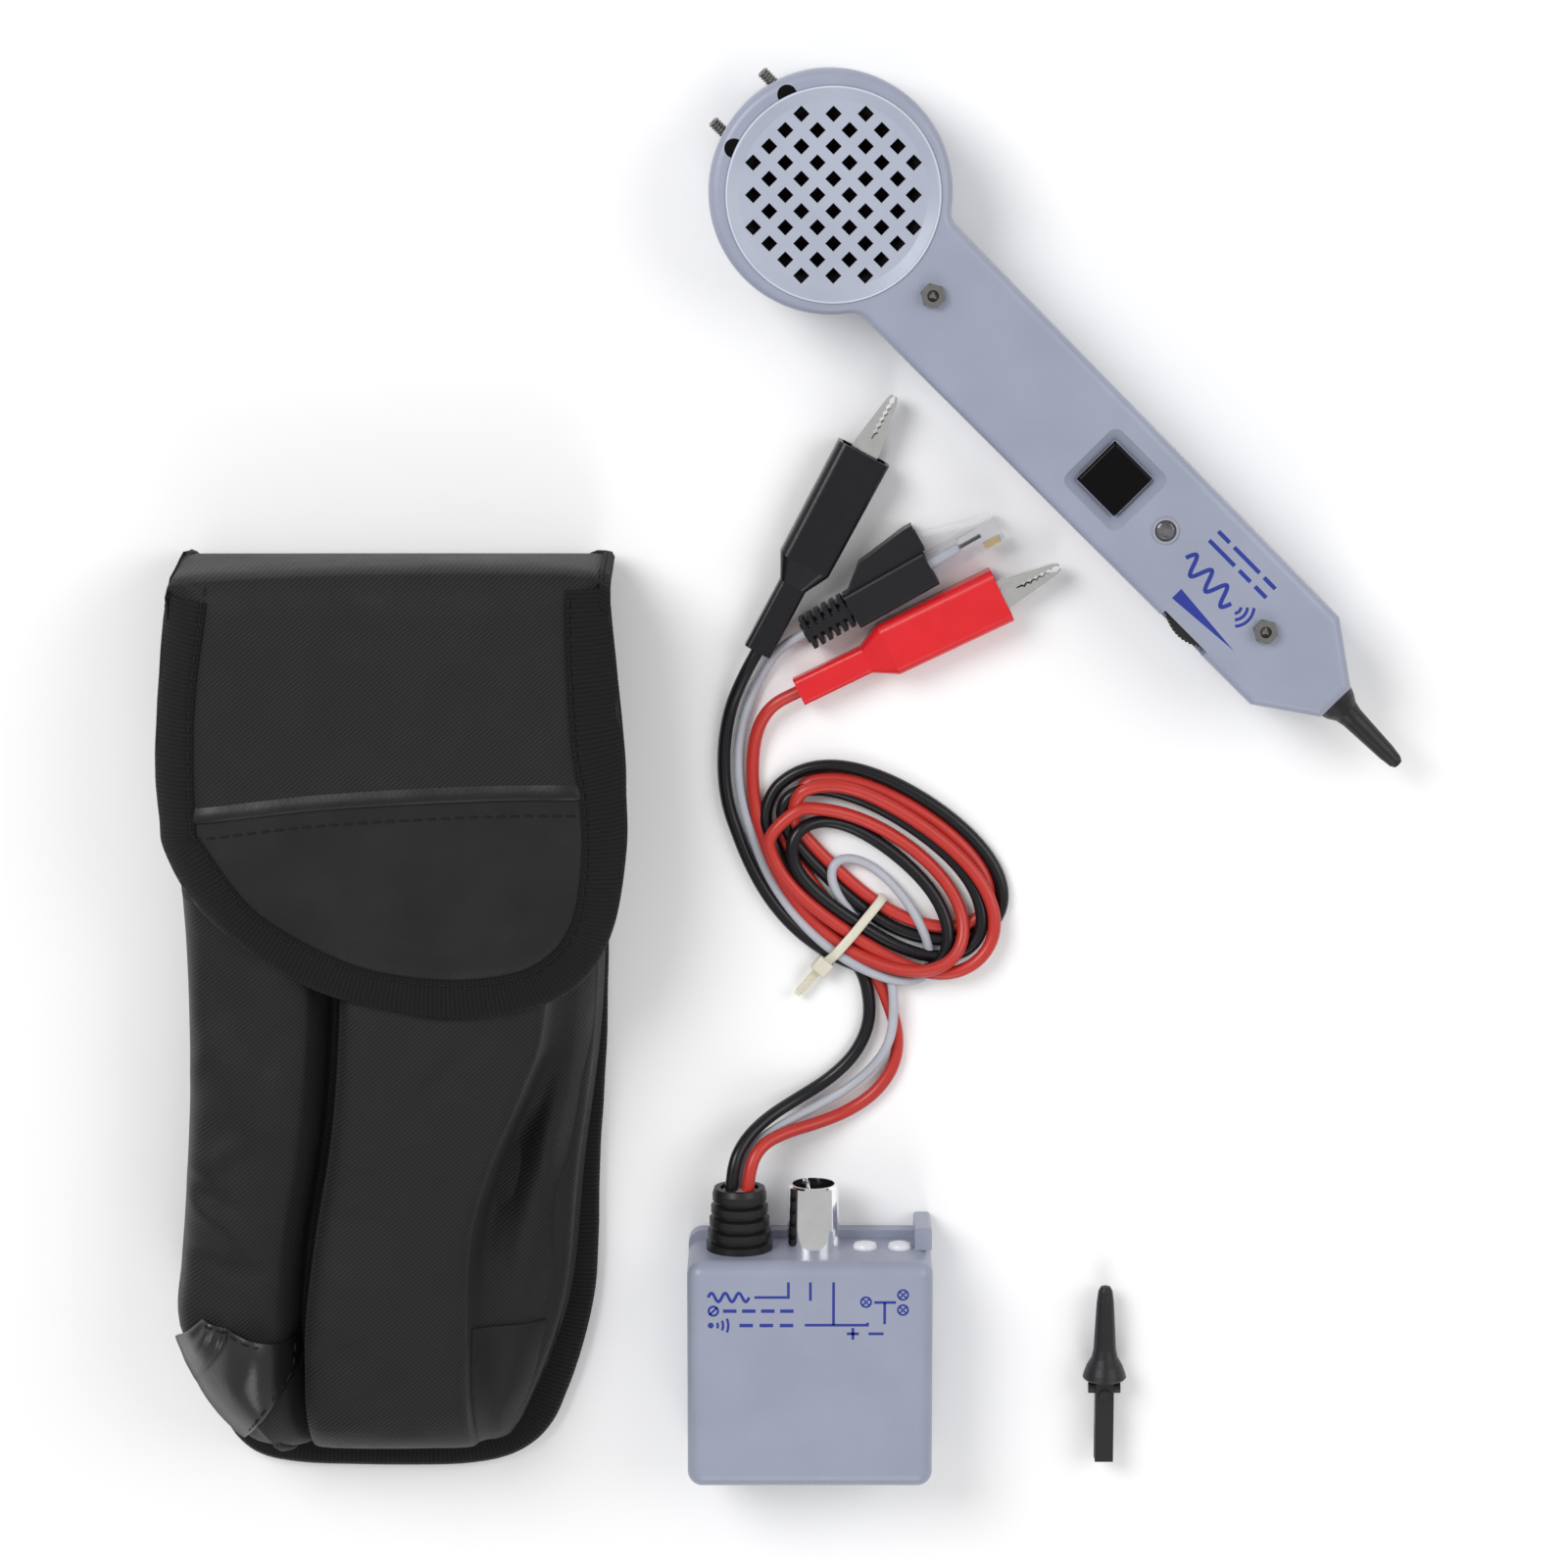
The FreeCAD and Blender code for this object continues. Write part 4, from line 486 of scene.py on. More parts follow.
UPPER_ROUTES = {
    "black": [(-3.2, -27.5, 1.75), (-11.2, -17.5, 1.75), (-15.9, -5.5, 1.75), (-16.7, 7.5, 1.75),
              (-14.9, 19.5, 2.6), (-11.2, 28.7, 5.4), (-7.3, 36, 6.2)],
    "grey": [(-1.6, -29.5, 1.4), (-7.6, -17.5, 1.4), (-11.9, -5.5, 1.4), (-12.8, 7, 1.4),
             (-10.6, 18.5, 1.4), (-6.6, 28.5, 1.4), (-1.4, 36.5, 3.2), (5.2, 40.5, 5.7)],
    "red": [(0.6, -29.5, 1.75), (-5.2, -17.5, 1.75), (-8.4, -6, 1.75), (-8.9, 5, 2.2),
            (-7.6, 14.6, 4), (-3.6, 21.4, 6), (3.7, 25, 6.2)],
}
# Where each lead's end lies in its clip or plug, past the last point of the route
SOCKETS = {"black": (-2.6, 44.8, 6.2), "grey": (12.2, 44.5, 5.7), "red": (12.7, 29.4, 6.2)}

# The loops lie on each other and are tied at one place. In the coil's own directions, along its
# long axis and across it, each loop has the place (outwards, height) where it passes the tie
# before and after its turn, and its half length, sideways shift, width and height opposite.
TIE_PLACE = (17.9, -41.6)
COIL_TURN = radians(-36.0)
LOOPS = {
    "black": [((1.8, 1.75), (-5.4, 1.75), 37.6, -4.2, 41.0, 1.75),
              ((-5.4, 1.75), (-3.6, 5.2), 36.4, -3.0, 33.6, 5.2),
              ((-3.6, 5.2), (7.2, 5.2), 31.0, -4.6, 24.0, 5.4)],
    "red": [((-1.8, 1.75), (-9.0, 1.75), 34.4, -3.4, 37.2, 1.75),
            ((-9.0, 1.75), (0.0, 5.2), 36.0, -1.8, 36.4, 8.4),
            ((0.0, 5.2), (3.6, 5.2), 33.6, -3.8, 28.4, 8.0)],
    "grey": [((-7.0, 4.6), (5.4, 8.2), 24.0, 2.0, 16.0, 2.2)],
}
POINTS_PER_TURN = 18

# How the loops settle, in millimetres and shares of a step
CHAIN_STEP = 3.0
HELD_REACH = 9.6
SETTLE_STEPS = 330
CLEARANCE = 0.05
NEIGHBOURS = 14
PUSH = 0.9
STIFFNESS = 0.6
SAG = 0.02
STRETCH = 0.25
SMOOTHINGS = 14


def coil_frame(along, outwards, height):
    """A point in millimetres from its place relative to the tie."""
    axis = Vector((cos(COIL_TURN), sin(COIL_TURN), 0))
    across = Vector((-sin(COIL_TURN), cos(COIL_TURN), 0))
    return Vector((*TIE_PLACE, height)) + axis * along - across * outwards


def loop_point(loop, share):
    """A point of one loop, share of a turn after it passed the tie."""
    (start, start_height), (end, end_height), half_long, shift, wide, high = loop
    settled = smooth_step(share, 0.12, 0.88)
    outwards = start + (end - start) * settled
    angle = -pi / 2 - 2 * pi * share
    middle = (wide - outwards) / 2
    half_wide = (wide + outwards) / 2
    along = half_long * cos(angle) + shift * smooth_step(abs(cos(angle)))
    across = middle + half_wide * sin(angle)
    height = start_height + (end_height - start_height) * settled
    away = smooth_step(share, 0.05, 0.3) * smooth_step(1 - share, 0.05, 0.3)
    height += (high - height) * away
    return coil_frame(along, -across, height)


def loops_line(word):
    """Points along the loops of one lead, from just past the tie to where it leaves the coil."""
    line = []
    for number, loop in enumerate(LOOPS[word]):
        for step in range(0 if number else 1, POINTS_PER_TURN):
            line.append(loop_point(loop, step / POINTS_PER_TURN))
    last = LOOPS[word][-1]
    leaving = (last[1], last[1], *last[2:])
    line.append(loop_point(leaving, 0.0))
    return line


def lead_chain(word):
    """One whole lead as points CHAIN_STEP apart, and which of them its route leaves free."""
    lower = [Vector(point) for point in LOWER_ROUTES[word]]
    upper = [Vector(point) for point in UPPER_ROUTES[word]]
    whole = lower[:-1] + loops_line(word) + upper
    chain = evenly(spline(whole, 12 * len(whole)), CHAIN_STEP)
    held = lower[:-2] + upper[2:]
    return chain, [min((point - place).length for place in held) > HELD_REACH for point in chain]


def settle(chains, radii, free):
    """Lets the loops push each other apart, sag to the floor and straighten, length kept."""
    place = np.array([tuple(point) for chain in chains for point in chain])
    owner = np.concatenate([np.full(len(chain), number) for number, chain in enumerate(chains)])
    order = np.arange(len(place))
    radius = np.array(radii)[owner]
    loose = np.concatenate(free).astype(float)[:, None]
    need = radius[:, None] + radius[None] + CLEARANCE
    same = owner[:, None] == owner[None]
    near = same & (abs(order[:, None] - order[None]) * CHAIN_STEP < NEIGHBOURS)
    linked = np.append(owner[1:] == owner[:-1], False)
    whole = np.zeros(len(place))
    whole[6:-6] = owner[:-12] == owner[12:]
    for _ in range(SETTLE_STEPS):
        apart = place[:, None] - place[None]
        distance = np.linalg.norm(apart, axis=2) + 1e-6
        overlap = np.where(near, 0, np.maximum(need - distance, 0))
        push = (apart * (overlap / distance)[:, :, None]).sum(axis=1)
        crowd = np.maximum((overlap > 0).sum(axis=1), 1)[:, None]
        place += loose * push / crowd * PUSH
        for reach in (1, 2):
            first, before, middle, after, last = (place[4 * reach - back:len(place) - back]
                                                  for back in range(4 * reach, -1, -reach))
            bend = first - 4 * before + 6 * middle - 4 * after + last
            held = whole[2 * reach:-2 * reach, None] * loose[2 * reach:-2 * reach]
            place[2 * reach:-2 * reach] -= held * bend / 16 * STIFFNESS / reach
        place[:, 2] -= loose[:, 0] * SAG
        along = place[1:] - place[:-1]
        length = np.linalg.norm(along, axis=1) + 1e-6
        slip = np.where(linked[:-1], (length - CHAIN_STEP) / length, 0)[:, None] * along * STRETCH
        place[:-1] += loose[:-1] * slip
        place[1:] -= loose[1:] * slip
        place[:, 2] = np.where(loose[:, 0] > 0, np.maximum(place[:, 2], radius), place[:, 2])
    return [place[owner == number] for number in range(len(chains))]


def lead_lines():
    """Control points of the three leads, from the gland, round the coil and into clip or plug."""
    chains, free = zip(*(lead_chain(word) for word in RADII))
    lines = {}
    for word, settled, loose in zip(RADII, settle(chains, list(RADII.values()), free), free):
        smooth = np.array(settled)
        for _ in range(SMOOTHINGS):
            eased = (smooth[:-2] + 2 * smooth[1:-1] + smooth[2:]) / 4
            smooth[1:-1] = np.where(np.array(loose)[1:-1, None], eased, smooth[1:-1])
        coil = [Vector(point) for point, moves in zip(smooth, loose) if moves][::2]
        lower = [Vector(point) for point in LOWER_ROUTES[word][:-2]]
        upper = [Vector(point) for point in UPPER_ROUTES[word][2:]]
        lines[word] = lower + coil + upper + [Vector(SOCKETS[word])]
    return lines


def nurbs(name, points, radius, finish):
    data = bpy.data.curves.new(name, "CURVE")
    data.dimensions = "3D"
    data.bevel_depth = radius
    data.bevel_resolution = 5
    data.use_fill_caps = True
    data.resolution_u = 8
    line = data.splines.new("NURBS")
    line.points.add(len(points) - 1)
    for point, place in zip(line.points, points):
        point.co = (*place, 1)
    line.order_u = 3
    line.use_endpoint_u = True
    data.materials.append(finish_of(finish))
    piece = link_object(name, data)
    return piece


def line_of(points):
    """The line that an order 3 spline with these control points follows, point by point."""
    probe = nurbs("line_probe", points, 0.0, "black_vinyl")
    probe.data.use_fill_caps = False
    mesh = bpy.data.meshes.new_from_object(probe.evaluated_get(bpy.context.evaluated_depsgraph_get()))
    made = [vertex.co.copy() for vertex in mesh.vertices]
    bpy.data.meshes.remove(mesh)
    data = probe.data
    bpy.data.objects.remove(probe)
    bpy.data.curves.remove(data)
    return made


def length_of(line):
    return sum((b - a).length for a, b in zip(line, line[1:]))


def make_leads():
    """The three leads, and the flat cable seen in the plug; gives back their control points."""
    lines = lead_lines()
    clip = ["boot", "fixed_jaw", "moving_jaw", "pin", "spring"]
    plug = ["boot", "body", "contacts", "latch"]
    for word, finish, group, ends, far_end in (
            ("black", "black_vinyl", "black_clip", clip, "connector"),
            ("red", "red_lead", "red_clip", clip, "connector"),
            ("grey", "grey_vinyl", "plug", plug, "plug")):
        points = [point * MM for point in lines[word]]
        real_length = length_of(line_of(points))
        radius = RADII[word] * MM
        piece = nurbs(f"{word}_lead", points, radius, finish)
        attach(piece, "generator")
        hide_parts(f"{word}_lead_lower", f"{word}_lead_upper")
        if word == "black":
            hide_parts("lead_coil")
        inside = make_plug_cable() if word == "grey" else []
        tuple(points[0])
    return lines


# ---------------------------------------------------------------- pouch

# All in millimetres from the pouch's own foot and left side; heights are above the floor.
POUCH_PLACE = (-164.3, -189.5)
# The tables hold (along, across) pairs: the pouch's two sides, the crease between the pockets and
# the edge where the wide pocket's front turns down to its side.
LEFT_SIDE = [(0, 27), (2, 20.5), (13.5, 10), (28, 5.6), (38, 3.4), (46, 0.2), (60, 1.2), (92, 3.9),
             (131, 5.0), (180, 3.6), (250, 5.5)]
RIGHT_SIDE = [(0, 84), (4.8, 95.3), (22, 105), (48.5, 112), (85, 113.8), (122, 116), (180, 117),
              (250, 116.5)]
CREASE = [(0, 36.8), (9, 36.1), (44, 34.6), (70, 37), (100, 42), (131, 44.6), (176, 46)]
FRONT_EDGE = [(0, 80), (9, 79.7), (35, 79), (70, 79.9), (89, 85), (116, 96.3), (125, 99.5), (176, 107)]
# How far the back and its binding reach past the pockets on the right and on the left
RIGHT_MARGIN = [(0, 9.0), (22, 8.4), (50, 6.2), (90, 3.6), (131, 0.8), (176, 0.4), (250, 0.4)]
LEFT_MARGIN = [(0, 9.0), (16, 7.0), (30, 2.0), (46, 0.4), (60, 0.4), (250, 0.4)]
POCKET_FOOT = 7.2
SEAM_HEIGHT = 4.6
POCKET_TOP = 44.3
HEM_EDGE = 175.4


def pouch_point(across, along, height):
    return metres(across + POUCH_PLACE[0], along + POUCH_PLACE[1], height)


def pouch_points(rows):
    return [pouch_point(*point) for row in rows for point in row]


def cloth_piece(name, rows, thick, finish=None, body="pouch", stands_for=None, slot_name="pouch_twill"):
    """Cloth of a thickness in millimetres under a grid of points, which its upper face follows."""
    faces = grid_faces(len(rows), len(rows[0]))
    piece = face_up(mesh_piece(name, pouch_points(rows), faces, slot_name, finish))
    modify(piece, "SOLIDIFY", thickness=thick * MM, offset=-1)
    if body:
        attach(piece, body)
    if stands_for:
        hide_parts(stands_for)
    return piece


def tape_piece(name, rows):
    """Ribbed tape through rows of points that run along it; its weave coordinates are in metres."""
    points = pouch_points(rows)
    columns = len(rows[0])
    first = len(rows) // 2 * columns
    travelled = [0.0]
    for before, point in zip(points[first:first + columns], points[first + 1:first + columns]):
        travelled.append(travelled[-1] + (point - before).length)
    weave = [(along, number * 0.002) for number in range(len(rows)) for along in travelled]
    return mesh_piece(name, points, grid_faces(len(rows), columns), "binding_tape", uv=weave)


def read(table, value):
    """Reads a smooth curve through (position, value) pairs."""
    value = min(max(value, table[0][0]), table[-1][0])
    span = max(index for index in range(len(table) - 1) if table[index][0] <= value)
    (low, first), (high, last) = table[span], table[span + 1]
    (before, leading), (after, trailing) = table[max(span - 1, 0)], table[min(span + 2, len(table) - 1)]
    rise = (last - leading) / (high - before) * (high - low)
    fall = (trailing - first) / (after - low) * (high - low)
    share = (value - low) / (high - low)
    square, cube = share ** 2, share ** 3
    return ((2 * cube - 3 * square + 1) * first + (cube - 2 * square + share) * rise
            + (3 * square - 2 * cube) * last + (cube - square) * fall)


def ripple(across, along, scale, seed=0.0):
    """Smooth noise of about -1 to 1 with waves of the given size in millimetres."""
    return noise.noise(Vector((across / scale, along / scale, seed))) * 1.6


def foot_share(along, reach=16.0):
    """How far the front has risen from the back at the rounded foot, 0 to 1."""
    share = min(max(along - POCKET_FOOT, 0.0) / reach, 1.0)
    return sqrt(max(1 - (1 - share) ** 2.2, 0.0))


def inner_left(along):
    return read(LEFT_SIDE, along) + read(LEFT_MARGIN, along)


def inner_right(along):
    return read(RIGHT_SIDE, along) - read(RIGHT_MARGIN, along)


BAG_COLUMNS = 96


def bag_section(along):
    """Closed line round the bag at one place along it: back, sides and front."""
    left = inner_left(along) + 1.4
    right = inner_right(along) - 1.4
    front = 4.2 + (18.0 + 13.8 * smooth_step(along, 148, 182)) * foot_share(along)
    if along > 205:
        front -= 1.6 * smooth_step(along, 205, 250)
    middle = (left + right) / 2
    half = (right - left) / 2
    section = []
    for index in range(BAG_COLUMNS):
        angle = 2 * pi * index / BAG_COLUMNS
        reach = abs(cos(angle)) ** 0.42 * (1 if cos(angle) > 0 else -1)
        rise = abs(sin(angle)) ** 0.62 * (1 if sin(angle) > 0 else -1)
        height = 2.9 + (front - 2.9) * (rise + 1) / 2
        across = middle + half * reach
        pull = 1.6 * smooth_step(1 - abs(rise)) * smooth_step(along, 150, 250)
        across -= pull * (1 if reach > 0 else -1)
        bulge = 0.9 * ripple(across, along, 34, 3.0) * smooth_step(rise, -0.2, 0.6)
        section.append((across, along, min(max(height + bulge, 2.7), 37.0)))
    return section


def make_bag():
    """The bag itself: a lofted shell, closed at its foot and open at its mouth."""
    places = [POCKET_FOOT + rise for rise in (0.0, 0.6, 1.6, 3.0, 5.0, 7.8)]
    places += [15 + 5.0 * step for step in range(1, 48)]
    rows = [bag_section(along) for along in places]
    faces = grid_faces(len(rows), BAG_COLUMNS, closed=True) + [tuple(range(BAG_COLUMNS))]
    bag = outward(mesh_piece("bag_shell", pouch_points(rows), faces, "pouch_twill"))
    modify(bag, "SOLIDIFY", thickness=1.4 * MM, offset=-1)
    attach(bag, "pouch")
    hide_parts("pouch_body")
    make_edge_binding()


def skin_section(along):
    """Line over the two pockets at one place along them, from the left side to the right."""
    left = inner_left(along)
    right = inner_right(along)
    crease = read(CREASE, along)
    edge = min(read(FRONT_EDGE, along), right - 6)
    rise = foot_share(along, 20.0)
    slope = right - edge
    narrow = (left + crease) / 2
    wide = (crease + edge) / 2
    open_end = smooth_step(along, 130, 170)
    gap = 0.7 + 1.5 * smooth_step(along, 20, 75)
    groove = 25.5 + 10.5 * open_end
    tuck = smooth_step(along, 44, 84) * smooth_step(132 - along, 0, 38)
    low_tuck = smooth_step(46 - along, 0, 5)
    line = [(left, SEAM_HEIGHT), (left - 0.9, 13), (left + 0.4, 24), (left + 3.0, 34.2), (left + 8.5, 38.9),
            (narrow, 41.4), (crease - 8, 39.8), (crease - gap - 2.6, 36.4), (crease - gap - 0.9, 31.5),
            (crease - gap * 0.6, groove), (crease + gap * 0.6, groove + 0.5), (crease + gap + 0.2, 35.5),
            (crease + gap + 1.4, 40.0), (crease + 8, 42.8), (wide, 43.6),
            (edge - 12, 42.8), (edge - 3.4, 42.0), (edge, 39.6), (edge + 0.8, 36.0 - 4 * tuck),
            (edge + slope * 0.14, 32.0 - 9.0 * tuck), (edge + slope * 0.32, 28.5 - 6.0 * tuck - low_tuck),
            (edge + slope * 0.58, 24.5 + 1.5 * tuck), (edge + slope * 0.82, 18.0),
            (right - 0.6, 9.5), (right, SEAM_HEIGHT)]
    return [(across, SEAM_HEIGHT + (height - SEAM_HEIGHT) * rise) for across, height in line]


SKIN_FINE = 5
# Soft creases in the pocket fronts: across and along at their middle, turn in degrees, half length,
# half width, and height
CREASES = [(10, 93, 30, 12, 2.6, 2.4), (9, 86, -36, 14, 2.8, -2.3), (14, 79, -30, 14, 3.0, 2.2),
           (15, 66, -16, 14, 3.2, -2.1), (7, 116, 62, 11, 2.4, 1.9), (22, 104, 74, 20, 2.6, -1.3),
           (44, 42, 36, 18, 3.4, -1.5), (54, 30, 28, 15, 3.2, -1.2), (70, 112, 52, 22, 3.4, -1.2)]


def creased(across, along):
    """How far the soft creases lift or sink the cloth at a point."""
    lift = 0.0
    for x, y, turn, half_long, half_wide, height in CREASES:
        angle = radians(turn)
        reach = (across - x) * cos(angle) + (along - y) * sin(angle)
        aside = (along - y) * cos(angle) - (across - x) * sin(angle)
        lift += height * exp(-(reach / half_long) ** 2 - (aside / half_wide) ** 2)
    return lift


def skin_line(along):
    """The pocket front at one place as many points, wrinkled; the ends stay at the seams."""
    coarse = skin_section(along)
    count = SKIN_FINE * (len(coarse) - 1) + 1
    line = []
    for across, height, _ in flat_spline(coarse, count):
        lift = 1.0 * ripple(across, along * 0.8, 27, 1.0) + 0.4 * ripple(across, along, 9, 5.0)
        side = smooth_step(30 - across, 0, 14) + smooth_step(across, 84, 98)
        drag = sin((across * 0.75 + along) / 6.5) * (0.3 + 0.9 * side * smooth_step(along, 30, 60))
        free = smooth_step(height, 8, 30) * smooth_step(along, 9, 24)
        fold = creased(across, along)
        line.append((across, along, min(height + (lift + drag + fold) * free, POCKET_TOP)))
    return line


def front_height(across, along):
    """Height of the pocket front over a point, or of its seam beside it."""
    places, _, heights = zip(*skin_line(along))
    if min(places) <= across <= max(places):
        return float(np.interp(across, np.maximum.accumulate(places), heights))
    return SEAM_HEIGHT


def make_pockets():
    """The bellows fronts of both pockets, their hem and the fastener patch on them."""
    places = [POCKET_FOOT + rise for rise in (0.1, 0.5, 1.4, 2.8, 4.8)]
    places += [12 + 2.0 * step for step in range(1, 83)]
    rows = [skin_line(along) for along in places]
    skin = cloth_piece("pocket_skin", rows, 1.1, stands_for="pouch_pockets")
    hem_rows = [[(x, along, z + lift) for x, _, z in skin_line(min(along, HEM_EDGE))]
                for along, lift in ((163.4, -0.2), (163.8, 0.8), (169.5, 1.1), (HEM_EDGE, 0.9),
                                    (176.9, 0.2), (176.6, -1.4))]
    hem = tape_piece("pocket_hem", hem_rows)
    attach(hem, "pouch")
    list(make_loop_patch())


def relax(heights, rounds):
    """Smooths a table of heights in both directions, its rim included."""
    for _ in range(rounds):
        padded = np.pad(heights, 1, mode="edge")
        heights = (padded[:-2, 1:-1] + padded[2:, 1:-1] + padded[1:-1, :-2] + padded[1:-1, 2:]
                   + 4 * heights) / 8
    return heights


def make_loop_patch():
    """Fastener pad sewn on the pocket fronts below their hem, stretched over the crease."""
    left, foot, wide, high = 36.0, 144.0, 50.0, 18.8
    rows, columns = 13, 35
    across = np.linspace(left, left + wide, columns)
    along = np.linspace(foot, foot + high, rows)
    under = [[max(front_height(x + shift, y) for shift in (-5, -3, 0, 3, 5)) for x in across]
             for y in along]
    over = relax(np.array(under), 8) + 0.8
    grid = [[(x, y, height) for x, height in zip(across, line)] for y, line in zip(along, over)]
    pad = cloth_piece("loop_pad", grid, 0.8, stands_for="loop_patch", slot_name="fastener_pile")

    def height_at(x, y):
        row = min(int((y - foot) / high * (rows - 1) + 0.5), rows - 1)
        return float(np.interp(x, across, over[row]))

    inset = 1.6
    start, end, low, top = left + inset, left + wide - inset, foot + inset, foot + high - inset
    rim = [(start, low, 0), (end, low, 0), (end, top, 0), (start, top, 0), (start, low, 0)]
    return [pad, stitches("loop_stitches", rim, height_at, "pouch", radius=0.22)]


def make_edge_binding():
    """Tape that binds the seam between the back and the sides, round three sides of the bag."""
    outline = [(read(LEFT_SIDE, along), along) for along in range(248, 14, -6)]
    outline += [(9.8, 13.5), (13.9, 6.4), (20.4, 1.6), (31, -0.6), (45, -1.2), (62, -1.4), (76, -1.0),
                (87, 1.0), (95, 5.2), (100.5, 11.5)]
    outline += [(read(RIGHT_SIDE, along), along) for along in range(20, 249, 6)]
    line = flat_spline(outline, 460)
    # Each row of the folded tape: its share of the way inwards, and its height
    fold = ((0.9, 2.45), (0.3, 2.45), (0.02, 3.0), (-0.02, 4.6), (0.1, 6.2), (0.35, 6.9), (0.7, 7.1),
            (0.98, 7.4), (1.0, 6.6))
    rows = [[] for _ in fold]
    for index, point in enumerate(line):
        ahead = line[min(index + 1, len(line) - 1)] - line[max(index - 1, 0)]
        inward = Vector((-ahead.y, ahead.x, 0)).normalized()
        wave = 0.3 * ripple(point.x, point.y, 14, 8.0)
        reach = 10.5 - 6.0 * smooth_step(point.y, 60, 130)
        if point.x < 60:
            reach = 10.5 - 6.0 * smooth_step(point.y, 16, 44)
        for row, (share, height) in zip(rows, fold):
            place = point + inward * (share * reach + wave * 0.5)
            row.append((place.x, place.y, height + wave * (height > 4)))
    tape = tape_piece("edge_binding", rows)
    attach(tape, "pouch")
    return tape


# The flap's outline and the inner edge of its binding, seen from above
FLAP_TOP = [(5.0, 245.0), (9.1, 248.2), (40, 250.2), (79.7, 250.9), (110, 250.4), (118.6, 247.0)]
FLAP_LEFT = [(5.0, 245.0), (3.2, 232), (0.9, 202.3), (1.6, 186.0)]
FLAP_LEFT_LOW = [(1.6, 186.0), (2.6, 178), (9.1, 165.7), (20.0, 155.2)]
FLAP_FOOT = [(20.0, 155.2), (41.4, 141.7), (62.3, 136), (79.7, 133.9), (101.5, 137.8), (112.6, 145.0)]
FLAP_RIGHT = [(118.6, 247.0), (119.4, 237.2), (122.3, 205), (122.7, 193.0)]
FLAP_RIGHT_LOW = [(122.7, 193.0), (122.7, 177.9), (119.4, 158.0), (112.6, 145.0)]
FLAP_SEAM = [(1.6, 186.0), (13, 187.2), (45, 190.8), (80, 192.8), (111, 193.4), (122.7, 193.0)]
TAPE_INNER = [(16.2, 247.0), (15.6, 241.6), (11.9, 215.4), (11.5, 186.6), (14.0, 180.0), (27.4, 162.2),
              (48.3, 150), (65.8, 145.3), (84.1, 144.8), (98.9, 148.4), (108.5, 158.7), (111.6, 176.2),
              (111.1, 193.6), (109, 206.7), (107.7, 232.9), (107.9, 247.0)]
TAPE_OUTER = (FLAP_LEFT[:-1] + FLAP_LEFT_LOW[:-1] + FLAP_FOOT[:-1] + FLAP_RIGHT_LOW[:0:-1]
              + FLAP_RIGHT[::-1])
FLAP_COLUMNS = 56
FLAP_MIDDLE = 61
FLAP_THICK = 1.3


def coons(top, foot, left, right, rows, columns):
    """A patch between four curves as rows of flat points, top row first."""
    top, foot = flat_spline(top, columns), flat_spline(foot, columns)
    left, right = flat_spline(left, rows), flat_spline(right, rows)
    grid = []
    for row in range(rows):
        down = row / (rows - 1)
        line = []
        for column in range(columns):
            over = column / (columns - 1)
            point = (1 - down) * top[column] + down * foot[column]
            point += (1 - over) * left[row] + over * right[row]
            point -= ((1 - down) * (1 - over) * top[0] + (1 - down) * over * top[-1]
                      + down * (1 - over) * foot[0] + down * over * foot[-1])
            line.append((point.x, point.y))
        grid.append(line)
    return grid


EDGE_LINE = [(point.x, point.y) for point in flat_spline(TAPE_OUTER, 260)]


def edge_distance(across, along):
    """Distance in millimetres from the flap's bound edge."""
    return min(hypot(across - x, along - y) for x, y in EDGE_LINE)


def flap_height(across, along):
    """Height of the flap's upper face: crowned, its edges drooping over the pockets."""
    away = edge_distance(across, along)
    side = abs(across - FLAP_MIDDLE) / FLAP_MIDDLE
    droop = (2.2 + 4.6 * smooth_step(side, 0.55, 1.0)) * (1 - min(away / 17, 1)) ** 2
    crown = 0.55 * ripple(across, along, 36, 11.0) + 0.22 * ripple(across, along, 12, 2.0)
    ridge = 0.3 * smooth_step(away, 9, 13) * smooth_step(26 - away, 0, 10)
    bend = 9.0 * (1 - sqrt(1 - min(max(along - 239.5, 0) / 13.0, 0.95) ** 2))
    return 47.0 + crown * smooth_step(away, 0, 20) + ridge - max(droop, bend)


def wrap_point(over, rise, back, fold):
    """A point where the flap goes down behind the mouth to its hinge, over a share of its width."""
    x, y = fold[min(int(over * (FLAP_COLUMNS - 1) + 0.5), FLAP_COLUMNS - 1)]
    share = smooth_step(rise, 2.5, 9)
    inner = 8 + (x - 5) * 106 / 113.6
    return (inner + (x - inner) * share, 251.0 - back + (y - 250.4) * smooth_step(rise, 3, 36) * 0.9, rise)


def on_flap(grid, lift=0.0):
    """The same grid of flat points, lying on the flap."""
    return [[(x, y, flap_height(x, y) + lift) for x, y in line] for line in grid]


